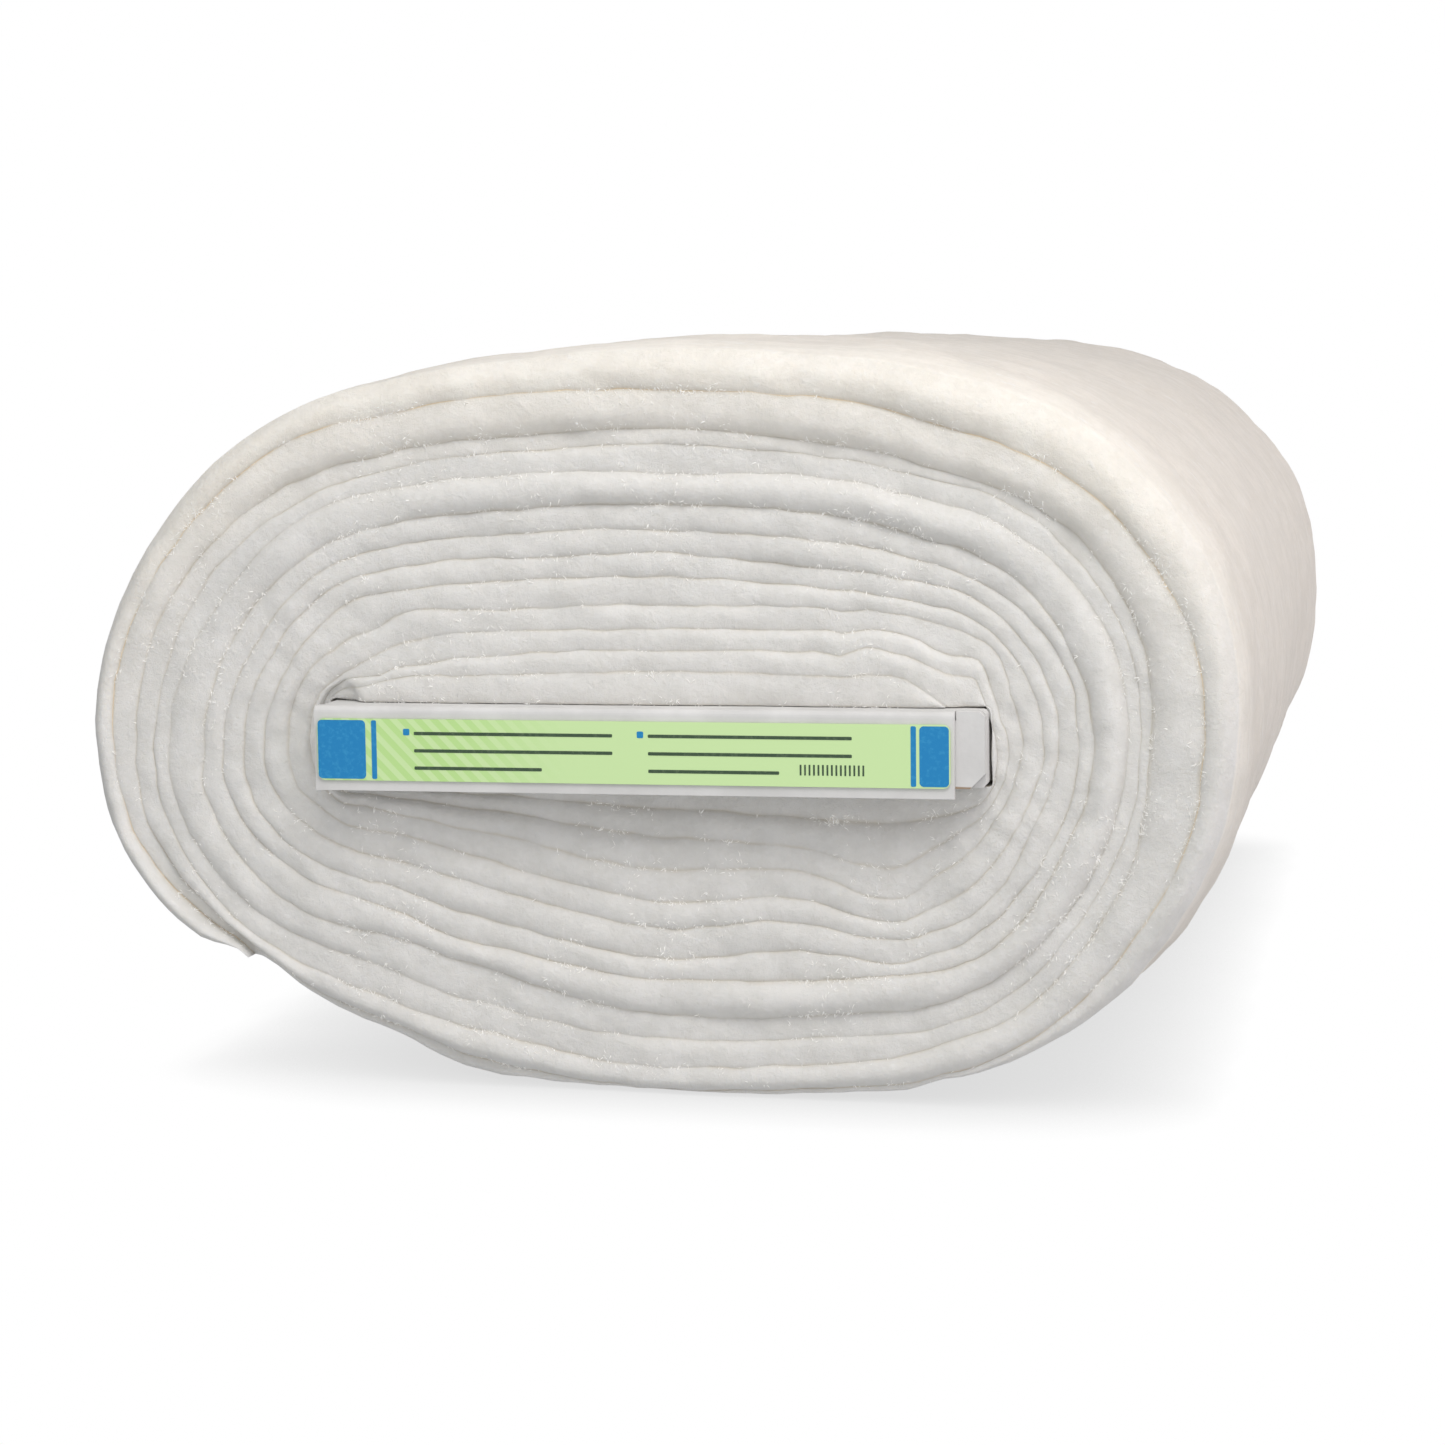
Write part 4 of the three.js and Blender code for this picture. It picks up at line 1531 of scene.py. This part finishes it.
@dataclass
class Studio:
    """A plain white floor with soft light from above, in front and the right."""

    floor_size: float = 40.0
    # The shade on the floor beside the roll.
    shade_reach: float = 0.046
    shade_power: float = 1.4
    shade_least: float = 0.70
    shade_samples: int = 4
    # The lamp above the front, and the soft light from the right.
    box_power: float = 4.3
    box_width: float = 0.6
    box_height: float = 0.4
    box_place: tuple[float, float, float] = (0.24, -0.78, 0.90)
    box_aim: tuple[float, float, float] = (0.0, -0.2, 0.15)
    box_colour: tuple[float, float, float] = (1.0, 0.985, 0.96)
    side: float = 0.95
    side_angle: float = 70.0
    side_from: tuple[float, float, float] = (1.0, -0.15, 0.3)
    side_colour: tuple[float, float, float] = (1.0, 0.90, 0.93)
    # The light from all round: its strength, and how it varies to the left, the front and the back.
    sky: float = 0.49
    sky_colour: tuple = paint(0.985, 0.99, 1.0)
    sky_lean: float = 0.30
    sky_front: float = 0.55
    sky_back: float = 1.4
    sky_back_start: float = 0.35

    def build(self) -> None:
        """Builds the floor, the lights and the white surroundings."""
        floor = self.floor()
        box_from = Vector(self.box_place) - Vector(self.box_aim)
        box = self.lamp("soft_box", "AREA", self.box_power, self.box_colour, box_from)
        box.location = self.box_place
        box.data.shape = "RECTANGLE"
        box.data.size = self.box_width
        box.data.size_y = self.box_height
        sun = self.lamp("side", "SUN", self.side, self.side_colour, Vector(self.side_from))
        sun.data.angle = math.radians(self.side_angle)
        self.surround()

    def floor(self) -> bpy.types.Object:
        """Builds the floor, which is white but for the shade beside the roll.

        Returns:
            The floor.
        """
        bpy.ops.mesh.primitive_plane_add(size=self.floor_size, location=(0.0, 0.0, 0.0))
        floor = bpy.context.active_object
        floor.name = "studio_floor"
        g = SurfaceGraph("studio_white")
        near = g.add("AmbientOcclusion", Distance=self.shade_reach)
        near.samples = self.shade_samples
        open_share = g.maths("POWER", near.outputs["AO"], self.shade_power)
        dark = paint(*[self.shade_least] * 3)
        material = g.finish(
            Base_Color=paint(0.0, 0.0, 0.0),
            Specular_IOR_Level=0.0,
            Emission_Color=g.mix(open_share, dark, paint(1.0, 1.0, 1.0)),
            Emission_Strength=1.0,
        )
        floor.data.materials.append(material)
        floor.visible_diffuse = False
        floor.visible_glossy = False
        return floor

    def lamp(
        self, name: str, kind: str, energy: float, colour: tuple, source: Vector
    ) -> bpy.types.Object:
        """Adds a lamp.

        Args:
            name: the lamp's name.
            kind: the kind of lamp.
            energy: its strength.
            colour: its colour.
            source: the direction that its light comes from.

        Returns:
            The lamp.
        """
        light = bpy.data.lights.new(name, kind)
        light.energy = energy
        light.color = colour
        lamp = bpy.data.objects.new(name, light)
        lamp.rotation_euler = source.to_track_quat("Z", "Y").to_euler()
        bpy.context.collection.objects.link(lamp)
        return lamp

    def surround(self) -> None:
        """Lights the scene from all round, least from the left, and shows pure white behind it."""
        world = bpy.data.worlds.new("surround")
        bpy.context.scene.world = world
        g = Graph(world)
        way = g.add("SeparateXYZ", Vector=g.add("TexCoord").outputs["Generated"]).outputs
        leftward = g.maths("MINIMUM", way["X"], 0.0)
        forward = g.maths("MINIMUM", way["Y"], 0.0)
        backward = g.maths("MAXIMUM", g.maths("SUBTRACT", way["Y"], self.sky_back_start), 0.0)
        strength = g.maths("MULTIPLY_ADD", leftward, self.sky * self.sky_lean, self.sky)
        strength = g.maths("MULTIPLY_ADD", backward, self.sky * self.sky_back, strength)
        strength = g.maths("MULTIPLY_ADD", forward, -self.sky * self.sky_front, strength)
        sky = g.add("Background", Color=self.sky_colour, Strength=strength)
        white = g.add("Background", Color=paint(1.0, 1.0, 1.0), Strength=1.0)
        mixed = g.add("MixShader", Fac=g.add("LightPath").outputs["Is Camera Ray"])
        g.feed(mixed.inputs[1], sky.outputs["Background"])
        g.feed(mixed.inputs[2], white.outputs["Background"])
        g.add("OutputWorld", Surface=mixed.outputs["Shader"])


class Ink(Enum):
    """The colours printed on the label."""

    BLUE = "blue"
    DARK = "dark"


@dataclass(frozen=True)
class PrintedShape:
    """A rounded rectangle on the label.

    Args:
        across: its middle, from the label's left end.
        up: its middle, from the label's lower edge.
        width: its size along the label.
        height: its size across the label.
        corner: the radius of its corners.
    """

    across: float
    up: float
    width: float
    height: float
    corner: float


@dataclass
class LabelPrint:
    """The label's paper, and the plain shapes printed on it, as very thin slabs on its face.

    Blue bands cross both ends, ruled lines to write on start at blue squares, and a short scale of
    even ticks stands under them.

    Args:
        lo: the label's lowest corner, in metres.
        hi: the label's highest corner, in metres.
        bands: the middle of each band, from the label's left end, and its width.
    """

    lo: tuple
    hi: tuple
    thickness: float = 0.14
    proud: float = 0.07
    bevel_steps: int = 5
    bands: tuple[tuple[float, float], ...] = ((8.0, 15.2), (18.3, 1.6), (190.6, 8.8), (184.4, 1.6))
    band_margin: float = 0.45
    band_corner: float = 1.3
    corner_share: float = 0.3
    line_height: float = 1.0
    line_corner: float = 0.3
    line_starts: tuple[float, float] = (31.0, 104.0)
    line_widths: tuple[float, float, float] = (62.0, 62.0, 40.0)
    line_levels: tuple[float, float, float] = (14.6, 9.3, 4.0)
    square_size: float = 2.0
    square_corner: float = 0.4
    square_gap: float = 2.4
    square_rise: float = 0.4
    tick_count: int = 15
    tick_pitch: float = 1.35
    tick: PrintedShape = PrintedShape(150.5, 5.0, 0.55, 3.2, 0.1)

    def build(self) -> list[bpy.types.Object]:
        """Dresses the label, and builds and dresses the shapes printed on it.

        Returns:
            The printed shapes.
        """
        cover(node_object("label"), LabelFinish(left=self.lo[0]).build())
        blue = PrintFinish("blue_ink", paint(0.012, 0.24, 0.55), paint(0.03, 0.30, 0.60)).build()
        dark = PrintFinish("dark_ink", paint(0.05, 0.09, 0.05), paint(0.09, 0.14, 0.08)).build()
        inks = {Ink.BLUE: blue, Ink.DARK: dark}
        pieces = []
        for name, ink, shape in self.shapes():
            piece = self.slab(name, shape)
            if shape is self.tick:
                self.repeat(piece)
            cover(piece, inks[ink])
            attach(piece, "root")
            pieces.append(piece)
        return pieces

    def shapes(self) -> list[tuple[str, Ink, PrintedShape]]:
        """Lists the printed shapes.

        Returns:
            The name, the colour, and the place and size of each.
        """
        width, height = (self.hi[0] - self.lo[0]) / MM, (self.hi[2] - self.lo[2]) / MM
        flat = (height - width * math.sin(BOARD_TILT)) / math.cos(BOARD_TILT)
        tall = flat - 2 * self.band_margin
        shapes = []
        for number, (middle, wide) in enumerate(self.bands):
            corner = min(self.band_corner, self.corner_share * wide)
            band = PrintedShape(middle, flat / 2, wide, tall, corner)
            shapes.append((f"label_band_{number}", Ink.BLUE, band))
        size = self.square_size
        for column, start in enumerate(self.line_starts):
            for row, (level, wide) in enumerate(zip(self.line_levels, self.line_widths)):
                line = PrintedShape(start + wide / 2, level, wide, self.line_height, self.line_corner)
                shapes.append((f"label_line_{column}_{row}", Ink.DARK, line))
            level = self.line_levels[0] + self.square_rise
            square = PrintedShape(start - self.square_gap, level, size, size, self.square_corner)
            shapes.append((f"label_square_{column}", Ink.BLUE, square))
        return shapes + [("label_ticks", Ink.DARK, self.tick)]

    def repeat(self, tick: bpy.types.Object) -> None:
        """Makes a row of even ticks from one.

        Args:
            tick: the first tick.
        """
        along = Vector((math.cos(BOARD_TILT), 0.0, math.sin(BOARD_TILT)))
        row = tick.modifiers.new("row", "ARRAY")
        row.count = self.tick_count
        row.use_relative_offset = False
        row.use_constant_offset = True
        row.constant_offset_displace = along * self.tick_pitch * MM
        bpy.ops.object.select_all(action="DESELECT")
        tick.select_set(True)
        bpy.context.view_layer.objects.active = tick
        bpy.ops.object.modifier_apply(modifier=row.name)

    def slab(self, name: str, shape: PrintedShape) -> bpy.types.Object:
        """Makes one thin slab with rounded corners on the label's face.

        Args:
            name: the piece's name.
            shape: its place and size on the label.

        Returns:
            The slab.
        """
        bpy.ops.object.select_all(action="DESELECT")
        bpy.ops.mesh.primitive_cube_add(size=1.0, location=(0.0, 0.0, 0.0))
        slab = bpy.context.active_object
        slab.name = name
        slab.data.name = name
        slab.scale = (shape.width * MM, self.thickness * MM, shape.height * MM)
        bpy.ops.object.transform_apply(location=False, rotation=False, scale=True)
        bpy.ops.object.mode_set(mode="EDIT")
        bpy.ops.mesh.select_all(action="DESELECT")
        mesh = bmesh.from_edit_mesh(slab.data)
        for edge in mesh.edges:
            ends = [vertex.co for vertex in edge.verts]
            edge.select_set(abs(ends[0].y - ends[1].y) > 0.5 * self.thickness * MM)
        bmesh.update_edit_mesh(slab.data)
        bpy.ops.mesh.bevel(offset=shape.corner * MM, segments=self.bevel_steps, affect="EDGES")
        bpy.ops.object.mode_set(mode="OBJECT")
        along, rise = math.cos(BOARD_TILT), math.sin(BOARD_TILT)
        x = self.lo[0] + (shape.across * along - shape.up * rise) * MM
        y = self.lo[1] + (self.thickness / 2 - self.proud) * MM
        z = self.lo[2] + (shape.across * rise + shape.up * along) * MM
        slab.location = (x, y, z)
        slab.rotation_euler = (0.0, -BOARD_TILT, 0.0)
        bpy.ops.object.transform_apply(location=True, rotation=True, scale=True)
        return slab


@dataclass
class BoltBoard:
    """The board and its two flaps, which keep the shapes of their solids."""

    cut_and_shadow_height: float = 1.0

    def build(self) -> list[bpy.types.Object]:
        """Dresses the board and the flaps.

        Returns:
            The three pieces.
        """
        board, tuck_flap, side_flap = map(node_object, ("bolt_board", "tuck_flap", "side_flap"))
        lined = CardFinish().build()
        cover(board, lined)
        cover(tuck_flap, lined)
        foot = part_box("side_flap")[0][2]
        # The side flap's foot gets the raw cut edge and its painted shadow.
        cover(side_flap, CardFinish("cut_and_shaded_cardboard", foot + self.cut_and_shadow_height * MM).build())
        return [board, tuck_flap, side_flap]


def node_object(name: str) -> bpy.types.Object:
    """Gives the object of a CAD node."""
    return bpy.data.objects[name]


def cover(piece: bpy.types.Object, material: bpy.types.Material) -> None:
    """Gives a piece one material all over."""
    piece.data.materials.clear()
    piece.data.materials.append(material)


def report(pieces: list[bpy.types.Object]) -> None:
    """Reports some pieces and how many faces each has."""
    for piece in pieces:
        log.info("%s: %d faces", piece.name, len(piece.data.polygons))


def main() -> None:
    """Builds the camera, the pieces and the studio in order."""
    logging.basicConfig(level=logging.INFO, format="%(message)s")
    PhotoCamera().place()
    bpy.context.scene.view_settings.view_transform = "Standard"
    bpy.context.scene.view_settings.look = "None"
    pocket = Pocket()
    roll = BattingRoll(origin=pocket.middle_line(*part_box("bolt_board")), pocket=pocket)
    report([roll.build()])
    report(Fuzz(roll).build())
    report(BoltBoard().build())
    report(LabelPrint(*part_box("label")).build())
    Studio().build()


if __name__ == "__main__":
    main()
